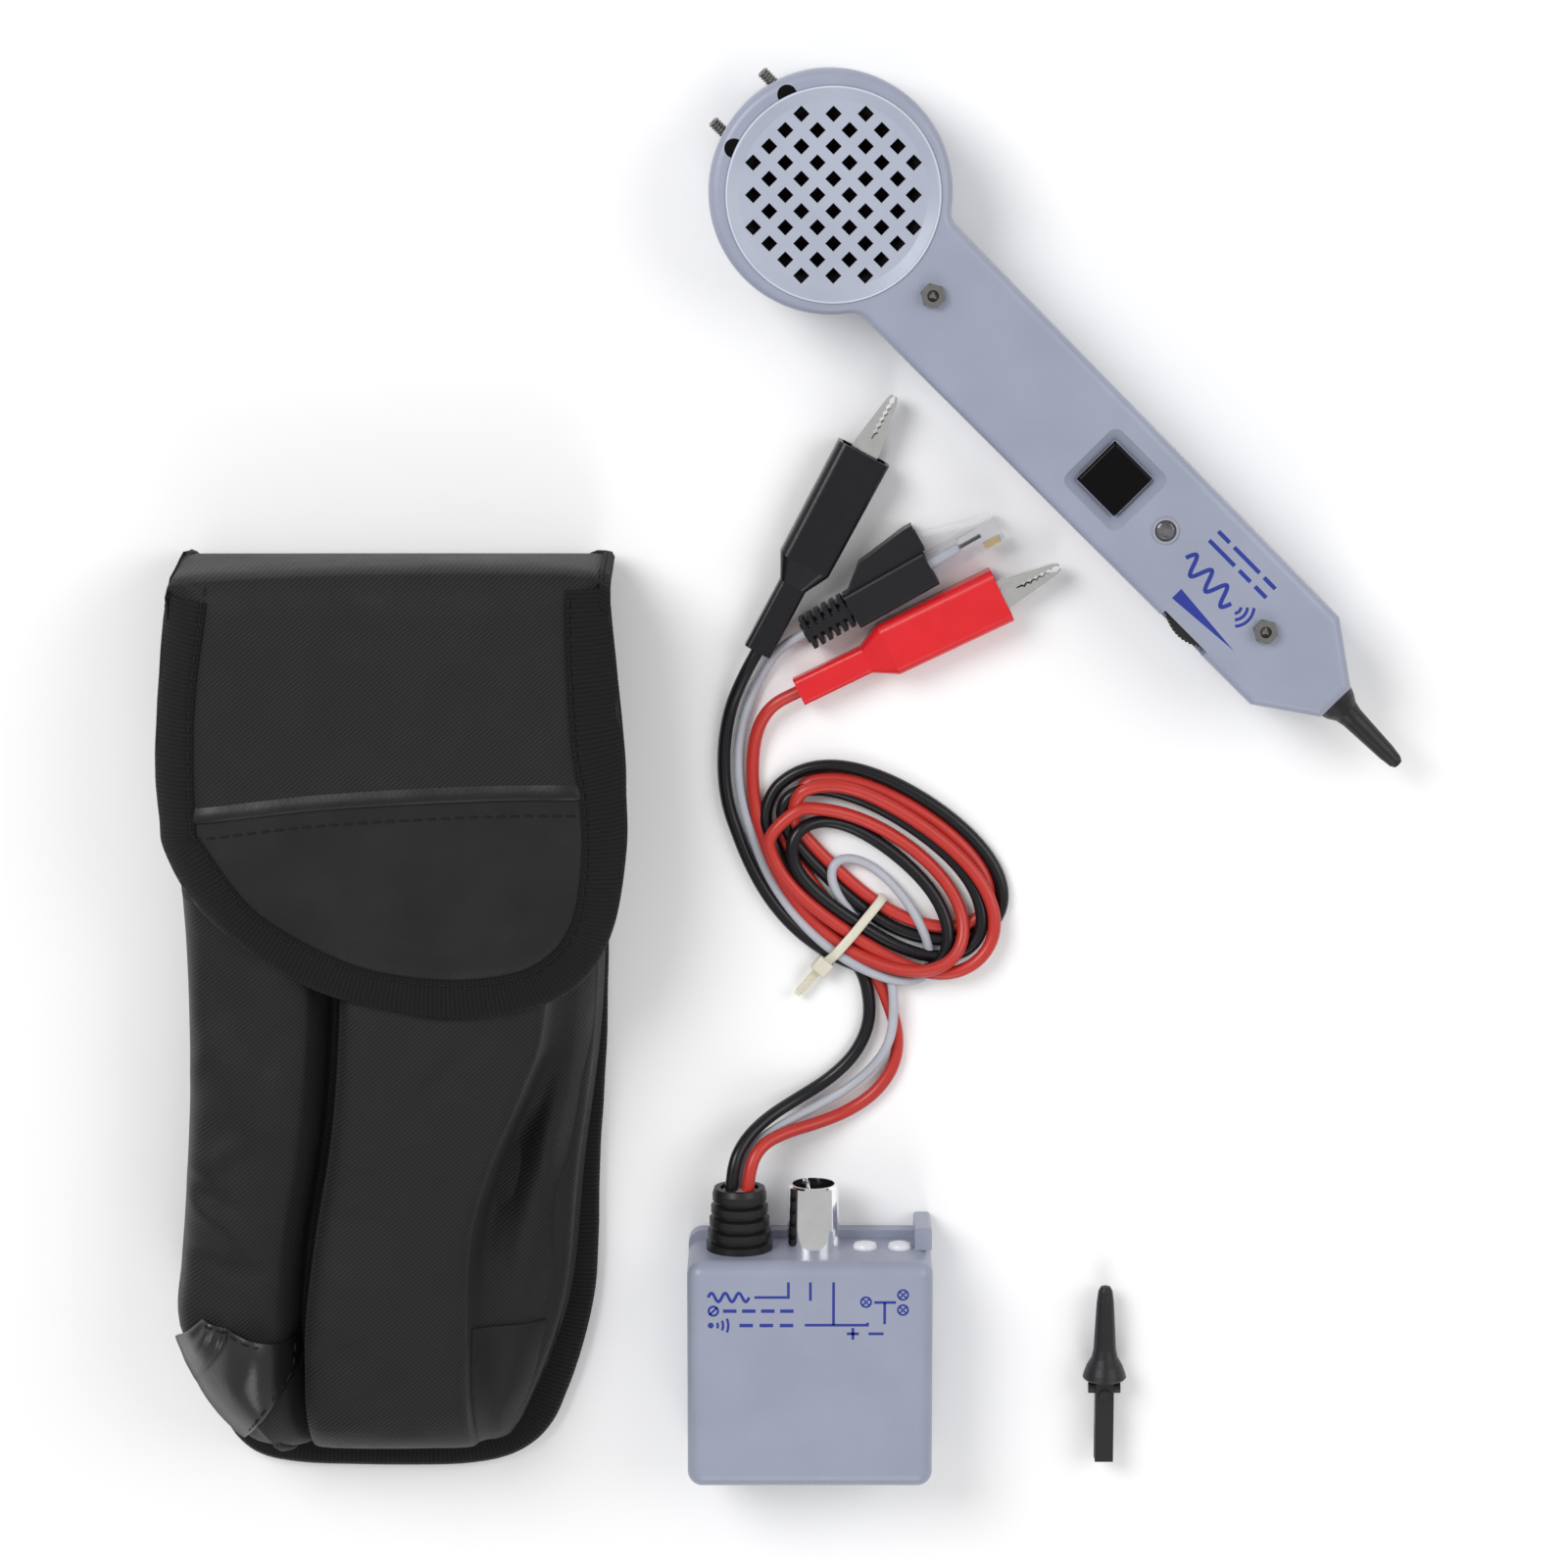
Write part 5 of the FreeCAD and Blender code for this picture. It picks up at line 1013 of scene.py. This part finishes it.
def make_flap():
    """The flap's twill with its bend behind the mouth, and the smooth panel below its seam."""
    top = coons(FLAP_TOP, FLAP_SEAM, FLAP_LEFT, FLAP_RIGHT, 26, FLAP_COLUMNS)
    low = coons(FLAP_SEAM, FLAP_FOOT, FLAP_LEFT_LOW, FLAP_RIGHT_LOW, 30, FLAP_COLUMNS)
    shares = [column / (FLAP_COLUMNS - 1) for column in range(FLAP_COLUMNS)]
    wrap = [[wrap_point(over, rise, back, top[0]) for over in shares]
            for rise, back in ((2.7, 9.0), (2.7, 5.0), (2.9, 2.2), (3.8, 0.2), (6, -0.6), (10, -0.9),
                               (17, -1.0), (25, -1.0), (32, -0.9), (36, -0.6))]
    cloth = cloth_piece("flap_cloth", wrap + on_flap(top), FLAP_THICK, body=None)
    panel = cloth_piece("flap_panel", on_flap(low), FLAP_THICK, "leatherette", "flap", "pouch_flap")
    bound = make_flap_binding()
    trims = make_flap_seam()
    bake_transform(cloth)
    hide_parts("pouch_flap")
    make_wrap_tapes()


def make_flap_binding():
    """Folded tape round the flap's sides and lower edge, following its height."""
    outer = flat_spline(TAPE_OUTER, 300)
    fine = flat_spline(TAPE_INNER, 900)
    inner = []
    reach = 0
    for point in outer:
        window = fine[reach:reach + 60]
        reach += min(range(len(window)), key=lambda step: (window[step] - point).length)
        inner.append(fine[reach])
    # Each row of the folded tape: its share of the way outwards, and its height over the flap
    fold = ((0.0, 0.0), (0.02, 0.75), (0.3, 0.95), (0.6, 0.95), (0.85, 0.75), (0.98, 0.0), (1.03, -0.9),
            (0.95, -2.2), (0.6, -2.4))
    rows = [[] for _ in fold]
    for inside, outside in zip(softened(inner, 6), outer):
        wave = 0.22 * ripple(outside.x, outside.y, 9, 6.0)
        for row, (share, lift) in zip(rows, fold):
            x, y, _ = inside.lerp(outside, share)
            row.append((x, y, flap_height(x, y) + lift + wave * (0.2 < share < 0.95)))
    tape = tape_piece("flap_tape", rows)
    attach(tape, "flap")
    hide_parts("flap_binding")
    return tape


def make_wrap_tapes():
    """The flap's tape carried over the bend and down behind the mouth, on both sides."""
    path = [(2.95, 0.6), (3.8, -0.5), (6, -1.5), (10, -1.9), (17, -2.0), (25, -2.0), (32, -1.9), (36, -1.6)]
    fold = [(point.x, point.y) for point in flat_spline(FLAP_TOP, FLAP_COLUMNS)]
    last = FLAP_COLUMNS - 1
    steps = 8
    pieces = []
    for word, start, end in (("left", -0.006, 0.1), ("right", 0.9, 1.006)):
        rows = []
        for step in range(steps + 1):
            over = start + (end - start) * step / steps
            outwards = 0.7 * ((over > 1) - (over < 0))
            rim = step in (0, steps)
            line = []
            for rise, back in path:
                x, y, z = wrap_point(min(max(over, 0), 1), rise, back, fold)
                line.append((x + outwards, y - rim * 1.4, z))
            x, y = fold[min(max(round(over * last), 0), last)]
            for drop in (0.6, 2.2, 4.0, 6.5):
                line.append((x + outwards, y - drop, flap_height(x, y - drop) + 0.95 - rim * 1.2))
            rows.append(line)
        tape = tape_piece(f"flap_tape_{word}", rows)
        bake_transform(face_up(tape))
        pieces.append(tape)
    return pieces


STITCH_LONG = 2.6
STITCH_GAP = 1.0
STITCH_LIFT = 0.25
THREAD_SIDES = 6


def stitches(name, line, height_at, body, radius=0.28):
    """A row of short threads along a flat line, lying on a surface of the given height."""
    places = evenly([Vector(point) for point in line], STITCH_LONG + STITCH_GAP)
    points, faces = [], []
    # One thread: its share of the length and its thickness, from end to end
    taper = ((0.0, 0.35), (0.2, 1.0), (0.8, 1.0), (1.0, 0.35))
    for start, following in zip(places, places[1:]):
        ahead = (following - start).normalized()
        side = Vector((-ahead.y, ahead.x, 0))
        first = len(points)
        for share, thick in taper:
            place = start + ahead * STITCH_LONG * share
            height = height_at(place.x, place.y) + STITCH_LIFT * thick - 0.1
            for corner in range(THREAD_SIDES):
                turn = 2 * pi * corner / THREAD_SIDES
                spot = place + side * cos(turn) * radius * thick
                points.append(pouch_point(spot.x, spot.y, height + sin(turn) * radius * thick))
        faces += [tuple(first + index for index in face)
                  for face in grid_faces(len(taper), THREAD_SIDES, closed=True)]
        faces += [tuple(range(end, end + THREAD_SIDES)) for end in (first, len(points) - THREAD_SIDES)]
    piece = outward(mesh_piece(name, points, faces, "pouch_twill", "thread"))
    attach(piece, body)
    return piece


def make_flap_seam():
    """The lip where the twill is folded over the lower panel, and the stitching below it."""
    seam = [point for point in flat_spline(FLAP_SEAM, 120) if 10.5 < point.x < 112.5]
    # Each row of the lip: how far below the seam it lies, and its height over the flap
    fold = ((-3.0, 0.0), (-1.6, 0.55), (0.2, 0.8), (1.1, 0.5), (1.25, 0.1), (0.6, -0.3))
    rows = [on_flap([[(x, y - drop) for x, y, _ in seam]], lift)[0] for drop, lift in fold]
    faces = grid_faces(len(rows), len(seam))
    lip = mesh_piece("flap_seam_lip", pouch_points(rows), faces, "pouch_twill", "leatherette")
    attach(lip, "flap")
    below = [(x, y - 5.2, 0) for x, y, _ in seam]
    threads = stitches("flap_stitches", below, flap_height, "flap")
    inset = [(x - (FLAP_MIDDLE - x) * 0.022, y - (195 - y) * 0.022, 0)
             for x, y, _ in flat_spline(TAPE_INNER, 300)]
    rim = stitches("flap_tape_stitches", inset, lambda x, y: flap_height(x, y) + 1.0, "flap", radius=0.22)
    return [lip, threads, rim]


# The glossy patch over the narrow pocket's lower corner, seen from above
PATCH_LEFT = [(9.5, 51.6), (4.8, 47.2), (0.4, 43.2)]
PATCH_TOP = [(9.5, 51.6), (14.3, 50), (24, 46.6), (34.6, 43.4)]
PATCH_FOOT = [(0.4, 43.2), (3.2, 35.2), (6.6, 29.2), (12.0, 22.0), (18.7, 14.6)]
PATCH_RIGHT = [(34.6, 43.4), (33.8, 35.3), (26.5, 24.6), (18.7, 14.6)]
PATCH_MIDDLE = Vector((18, 34, 0))
PATCH_CAP = 47.2


def patch_base(across, along):
    """Height under the patch: the pocket's front, then down its side beyond the shoulder."""
    shoulder = inner_left(along) + 3.0
    return front_height(max(across, shoulder), along) - 1.5 * max(shoulder - across, 0)


def patch_lift(across, along, over, down):
    """How far the patch stands off the pocket: two smooth lobes with a deep valley between them."""
    valley = 0.40 + 0.06 * down
    if over < valley:
        lobe = 2.6 * max(sin(pi * over / valley), 0.0) ** 0.8
        lobe += 0.45 * sin(5 * pi * over / valley) * smooth_step(down, 0.0, 0.3)
    else:
        lobe = 4.6 * max(sin(pi * (over - valley) / (1 - valley)), 0.0) ** 0.8
    folds = 0.25 * ripple(across * 2, along * 0.5, 12, 21.0)
    return 1.1 + (lobe + folds) * (0.35 + 0.65 * sin(pi * min(down * 0.8 + 0.3, 1.0)))


def make_corner_patch():
    """Glossy patch, gathered over the lower corner and stitched along two of its edges."""
    down, over = 34, 40
    grid = coons(PATCH_TOP, PATCH_FOOT, PATCH_LEFT, PATCH_RIGHT, down, over)
    under = relax(np.array([[patch_base(x, y) for x, y in line] for line in grid]), 24)
    rows = []
    for row, line in enumerate(grid):
        lifts = [patch_lift(x, y, column / (over - 1), row / (down - 1))
                 for column, (x, y) in enumerate(line)]
        rows.append([(x, y, min(base + lift, PATCH_CAP))
                     for (x, y), base, lift in zip(line, under[row], lifts)])
    patch = cloth_piece("corner_patch", rows, 1.1, "glossy_leatherette")
    modify(patch, "SUBSURF", levels=1, render_levels=1)
    heights = {(round(x), round(y)): z for row in rows for x, y, z in row}

    def height_near(x, y):
        return heights[min(heights, key=lambda place: hypot(place[0] - x, place[1] - y))]

    for word, path in (("right", PATCH_RIGHT), ("top", PATCH_TOP)):
        inset = [point + (PATCH_MIDDLE - point).normalized() * 1.5 for point in flat_spline(path, 40)]
        stitches(f"patch_stitches_{word}", inset, height_near, "pouch", radius=0.3)


GUSSET_TOP = [(81.0, 46.6), (92, 45.2), (103.4, 44.2)]
GUSSET_FOOT = [(81.4, 12.0), (85, 9.6), (90.4, 12.0)]
GUSSET_LEFT = [(81.0, 46.6), (80.6, 30.0), (81.4, 12.0)]
GUSSET_RIGHT = [(103.4, 44.2), (99.6, 27.0), (90.4, 12.0)]


def make_gusset_panel():
    """Smooth panel at the foot of the wide pocket's side."""
    grid = coons(GUSSET_TOP, GUSSET_FOOT, GUSSET_LEFT, GUSSET_RIGHT, 24, 20)
    rows = [[(x, y, front_height(x, y) + 0.75) for x, y in line] for line in grid]
    panel = cloth_piece("gusset_panel", rows, 1.3, "dull_leatherette")


def make_belt_strap():
    """Strap along the back for a belt, sewn down at its two ends."""
    foot, long, left, wide = 96.0, 110.0, 33.0, 56.0
    rows = []
    for step in range(45):
        along = foot + long * step / 44
        lift = 0.5 * smooth_step(min(along - foot, foot + long - along), 10, 16)
        line = []
        for column in range(23):
            across = left + wide * column / 22
            wave = 0.2 * ripple(across, along, 20, 4.0) * (1 < column < 21)
            line.append((across, along, 1.55 - lift + wave))
        rows.append(line)
    points = pouch_points(rows)
    strap = mesh_piece("belt_strap_cloth", points, grid_faces(45, 23), "pouch_twill", "binding_tape",
                       uv=[(point.y, point.x) for point in points])
    modify(strap, "SOLIDIFY", thickness=1.2 * MM, offset=0)
    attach(strap, "pouch")
    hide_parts("belt_loop")


def make_pouch():
    make_bag()
    make_pockets()
    make_flap()
    make_corner_patch()
    make_gusset_panel()
    make_belt_strap()


# ---------------------------------------------------------------- cable tie

TIE_TURN = radians(49.0)
TIE_WIDE = 2.5
TIE_THICK = 1.1


def tie_point(across, along, height):
    """A point in millimetres from its place across the bundle, along it and above the floor."""
    turned = Matrix.Rotation(TIE_TURN, 3, "Z") @ Vector((across, along, 0))
    return metres(TIE_PLACE[0] + turned.x, TIE_PLACE[1] + turned.y, height)


def hull_half(ordered):
    """The lower hull of sorted dots; of the same dots reversed, the upper one."""
    hull = []
    for dot in ordered:
        while len(hull) > 1 and ((hull[-1][0] - hull[-2][0]) * (dot[1] - hull[-2][1])
                                 <= (hull[-1][1] - hull[-2][1]) * (dot[0] - hull[-2][0])):
            hull.pop()
        hull.append(dot)
    return hull[:-1]


def bundle_outline(lines):
    """Hull round all the strands where the tie holds them, as points (across, height) in order."""
    back = Matrix.Rotation(-TIE_TURN, 3, "Z")
    dots = []
    for word, line in lines.items():
        radius = RADII[word] + 0.15
        for point in spline(line, 20 * len(line)):
            local = back @ Vector((point.x - TIE_PLACE[0], point.y - TIE_PLACE[1], 0))
            if abs(local.y) < TIE_WIDE * 0.6 and abs(local.x) < 16:
                for step in range(12):
                    angle = 2 * pi * step / 12
                    dots.append((local.x + radius * cos(angle), point.z + radius * sin(angle)))
    dots = sorted(set(dots))
    return hull_half(dots) + hull_half(dots[::-1])


def make_tie(lines):
    """Strap drawn tight round the bundle, its locking head, and the toothed tail."""
    hull = [Vector((x, z, 0)) for x, z in bundle_outline(lines)]
    around = evenly(hull + [hull[0]], 0.7)
    for _ in range(5):
        before, after = [around[-1], *around[:-1]], [*around[1:], around[0]]
        around = [(a + 2 * b + c) / 4 for a, b, c in zip(before, around, after)]
    section = [(0.0, -1.0), (0.0, 1.0), (0.75, 1.0), (1.0, 0.8), (1.0, -0.8), (0.75, -1.0)]
    points = []
    for index, place in enumerate(around):
        ahead = around[(index + 1) % len(around)] - around[index - 1]
        out = Vector((ahead.y, -ahead.x, 0)).normalized()
        for lift, side in section:
            spot = place + out * lift * TIE_THICK
            points.append(tie_point(spot.x, side * TIE_WIDE / 2, max(spot.y, 0.05)))
    faces = grid_faces(len(around), len(section), closed=True, looped=True)
    strap = outward(mesh_piece("tie_strap", points, faces, "nylon_natural"))
    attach(strap, "generator")
    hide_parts("cable_tie")
    left = min(place.x for place in around)
    head = block_piece("tie_head", (-2.3, -2.4, -2.1), (2.3, 2.4, 2.3), 0.7, "nylon_natural")
    points = []
    steps = 30
    for step in range(steps + 1):
        reach = -2.0 - 8.6 * step / steps
        tooth = 0.22 * (step % 2) * (step < steps - 3)
        taper = 1 - 0.35 * smooth_step(step, steps - 5, steps)
        for side, lift in ((-1, -0.5), (1, -0.5), (1, 0.35 + tooth), (-1, 0.35 + tooth)):
            points.append(metres(reach, side * TIE_WIDE / 2 * 0.9 * taper, lift))
    faces = grid_faces(steps + 1, 4, closed=True)
    faces += [(0, 1, 2, 3), tuple(range(steps * 4, steps * 4 + 4))]
    tail = outward(mesh_piece("tie_tail", points, faces, "nylon_natural", smooth=False))
    for piece in (head, tail):
        piece.matrix_world = (Matrix.Translation(tie_point(left - 2.2, 0.0, 3.0))
                              @ Matrix.Rotation(TIE_TURN, 4, "Z"))
        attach(piece, "generator")
        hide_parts("cable_tie")


def block_piece(name, low, high, bevel, slot_name):
    """A box between two corners in millimetres, with rounded edges."""
    corners = [(x, y, z) for x in (low[0], high[0]) for y in (low[1], high[1]) for z in (low[2], high[2])]
    faces = [(0, 1, 3, 2), (4, 6, 7, 5), (0, 4, 5, 1), (2, 3, 7, 6), (0, 2, 6, 4), (1, 5, 7, 3)]
    piece = outward(mesh_piece(name, [metres(*corner) for corner in corners], faces, slot_name))
    modify(piece, "BEVEL", width=bevel * MM, segments=4, limit_method="NONE")
    return piece


# ---------------------------------------------------------------- small hard pieces


def make_grille_highlight_rim():
    """Painted highlight on the edge of the grille's raised ring: a thin, lighter round rim lying flat."""
    x, y = probe_place(1.0, 0.0)
    radius, height, thick = 27.42, 30.36, 0.24
    turns, sides = 160, 10
    points = []
    for turn in (2 * pi * step / turns for step in range(turns)):
        for angle in (2 * pi * step / sides for step in range(sides)):
            reach = radius + thick * cos(angle)
            points.append(metres(x + reach * cos(turn), y + reach * sin(turn), height + thick * sin(angle)))
    faces = grid_faces(turns, sides, closed=True, looped=True)
    rim = outward(mesh_piece("grille_rim", points, faces, "casing_grey", "grille_rim"))
    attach(rim, "probe")


def make_gland_filling():
    """Domed potting compound in the mouth of the gland, round the three leads."""
    x, y, z = -12.3, -110.4, 15.4
    rows, columns = 5, 24
    points = []
    for row in range(rows):
        radius = 5.15 * (1 - row / rows)
        swell = 0.9 * sqrt(1 - (radius / 5.6) ** 2)
        for angle in (2 * pi * column / columns for column in range(columns)):
            points.append(metres(x + radius * cos(angle), y + swell, z + radius * sin(angle)))
    points.append(metres(x, y + 0.9, z))
    last = (rows - 1) * columns
    faces = grid_faces(rows, columns, closed=True) + [tuple(range(columns))]
    faces += [(last + column, last + (column + 1) % columns, rows * columns) for column in range(columns)]
    filling = outward(mesh_piece("gland_filling", points, faces, "gland_rubber", "potting"))
    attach(filling, "generator")


def make_plug_cable():
    """The flat cable and its four wires, seen through the clear body of the plug."""
    turn = Matrix.Translation(metres(5.2, 40.5, 5.7)) @ Matrix.Rotation(radians(29.6), 4, "Z")
    pieces = [block_piece("plug_cable", (34.2, -1.35, -2.4), (47.2, 1.35, 2.4), 0.9, "grey_vinyl")]
    for number in range(4):
        level = -1.52 + 1.02 * number
        low, high = (46.8, -0.45, level - 0.34), (53.6, 0.25, level + 0.34)
        pieces.append(block_piece(f"plug_wire_{number}", low, high, 0.15, "plug_black"))
    for piece in pieces:
        piece.matrix_world = turn
        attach(piece, "generator")
    return pieces


# ---------------------------------------------------------------- prints

PRINT_THICK = 0.04
PROBE_FACE = 30.0
GENERATOR_FACE = 31.0


class Stencil:
    """Flat printed shapes, kept as polygons in millimetres on the printed face."""

    def __init__(self):
        self.polygons = []

    def polygon(self, *corners):
        """A filled shape."""
        self.polygons.append([Vector((x, y, 0)) for x, y in corners])

    def stroke(self, points, width):
        """A line of even width through the points, its corners mitred."""
        points = [Vector((x, y, 0)) for x, y in points]
        sides = []
        for index, point in enumerate(points):
            before = (point - points[index - 1]).normalized() if index else None
            after = (points[index + 1] - point).normalized() if index < len(points) - 1 else None
            ahead = ((before or after) + (after or before)).normalized()
            side = Vector((-ahead.y, ahead.x, 0))
            spread = 1 / max(ahead.dot(after or before), 0.4)
            sides.append((point + side * width / 2 * spread, point - side * width / 2 * spread))
        for (a, b), (c, d) in zip(sides, sides[1:]):
            self.polygons.append([a, b, d, c])

    def arc(self, x, y, radius, start, end, width):
        """A stroke round a middle, between two angles in degrees."""
        steps = max(int(abs(end - start) / 12), 6)
        angles = [radians(start + (end - start) * step / steps) for step in range(steps + 1)]
        self.stroke([(x + radius * cos(angle), y + radius * sin(angle)) for angle in angles], width)

    def dot(self, x, y, radius):
        angles = [pi * step / 8 for step in range(16)]
        self.polygon(*[(x + radius * cos(angle), y + radius * sin(angle)) for angle in angles])

    def dashes(self, x, y, lengths, gap, width):
        """A row of dashes, where the photo has a word."""
        for length in lengths:
            self.stroke([(x, y), (x + length, y)], width)
            x += length + gap

    def tone(self, x, y, long, high, steps, width):
        """Three waves of a tone."""
        self.stroke([(x + long * step / steps, y + high * sin(6 * pi * step / steps))
                     for step in range(steps + 1)], width)

    def piece(self, name, place, height, body):
        """The shapes as thin raised ink; place turns a flat point into the frame's X and Y."""
        points, faces = [], []
        for polygon in self.polygons:
            spots = [place(corner.x, corner.y) for corner in polygon]
            area = sum(a[0] * b[1] - a[1] * b[0] for a, b in zip(spots, spots[1:] + spots[:1]))
            if area < 0:
                spots.reverse()
            first, count = len(points), len(spots)
            points += [metres(x, y, level) for level in (height + PRINT_THICK, height) for x, y in spots]
            faces.append(tuple(range(first, first + count)))
            for step in range(first, first + count):
                following = first + (step - first + 1) % count
                faces.append((step, count + step, count + following, following))
        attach(mesh_piece(name, points, faces, "casing_grey", "print_blue", smooth=False), body)


def probe_place(along, across):
    """Where a point of the probe's face lies: along its handle from the head, and across."""
    return 11.7 + (along + across) / sqrt(2), 158 + (across - along) / sqrt(2)


def generator_place(across, below):
    """Where a point of the generator's face lies: across it, and from its top edge."""
    return across, -126.0 + below


def make_probe_print():
    """Volume wedge, and a tone wave and plain rules where the photo has words."""
    marks = Stencil()
    marks.polygon((137.0, -11.1), (137.0, -7.7), (158.3, -9.35))
    marks.tone(132.0, -1.2, 17.0, 2.5, 60, 1.1)
    for reach in (1.7, 3.4, 5.1):
        marks.arc(150.2, -1.2, reach, -42, 42, 0.8)
    marks.dashes(133.0, 6.3, (9.5, 4.2, 4.2), 1.7, 1.1)
    marks.dashes(133.0, 9.6, (4.2, 9.5, 4.2), 1.7, 1.1)
    marks.piece("probe_print", probe_place, PROBE_FACE, "probe")


def make_generator_print():
    """Leader lines from the switch's places and the two lamps, with a sign for each."""
    marks = Stencil()
    for points in ([(-8.2, -9.3), (0.9, -9.3), (0.9, -5.1)], [(6.8, -5.1), (6.8, -10.2)],
                   [(13.0, -5.1), (13.0, -17.0)], [(5.3, -17.0), (22.1, -17.0), (22.1, -16.3)],
                   [(23.9, -10.7), (29.7, -10.7)], [(26.7, -10.7), (26.7, -16.7)]):
        marks.stroke(points, 0.72)
    marks.tone(-20.6, -9.3, 11.0, 1.2, 48, 0.8)
    # A struck ring for off, and dashes for the word
    marks.arc(-19.2, -13.1, 1.25, 0, 360, 0.6)
    marks.stroke([(-20.2, -14.1), (-18.2, -12.1)], 0.55)
    marks.dashes(-16.6, -13.1, [3.6] * 4, 1.5, 0.95)
    # A sounding dot for the continuity test
    marks.dot(-19.9, -17.1, 0.8)
    for ring in range(3):
        marks.arc(-19.9, -17.1, 1.9 + 1.4 * ring, -24, 24, 0.65)
    marks.dashes(-12.2, -17.1, [3.6] * 3, 1.8, 0.95)
    # Plus and minus
    for points in ([(16.6, -19.4), (19.8, -19.4)], [(18.2, -17.8), (18.2, -21.0)],
                   [(22.4, -19.4), (26.4, -19.4)]):
        marks.stroke(points, 0.75)
    # Crossed rings, the sign for a lamp
    for x, y in ((21.7, -10.6), (31.6, -8.6), (31.6, -12.8)):
        marks.arc(x, y, 1.35, 0, 360, 0.5)
        for start, end, slope in ((-0.85, 0.85, 1), (-0.85, -0.2, -1), (0.2, 0.85, -1)):
            marks.stroke([(x + start, y + slope * start), (x + end, y + slope * end)], 0.42)
    marks.piece("generator_print", generator_place, GENERATOR_FACE, "generator")


set_camera()
set_light()
make_floor()
paint_nodes()
lead_places = make_leads()
make_tie(lead_places)
make_grille_highlight_rim()
make_gland_filling()
make_probe_print()
make_generator_print()
make_pouch()
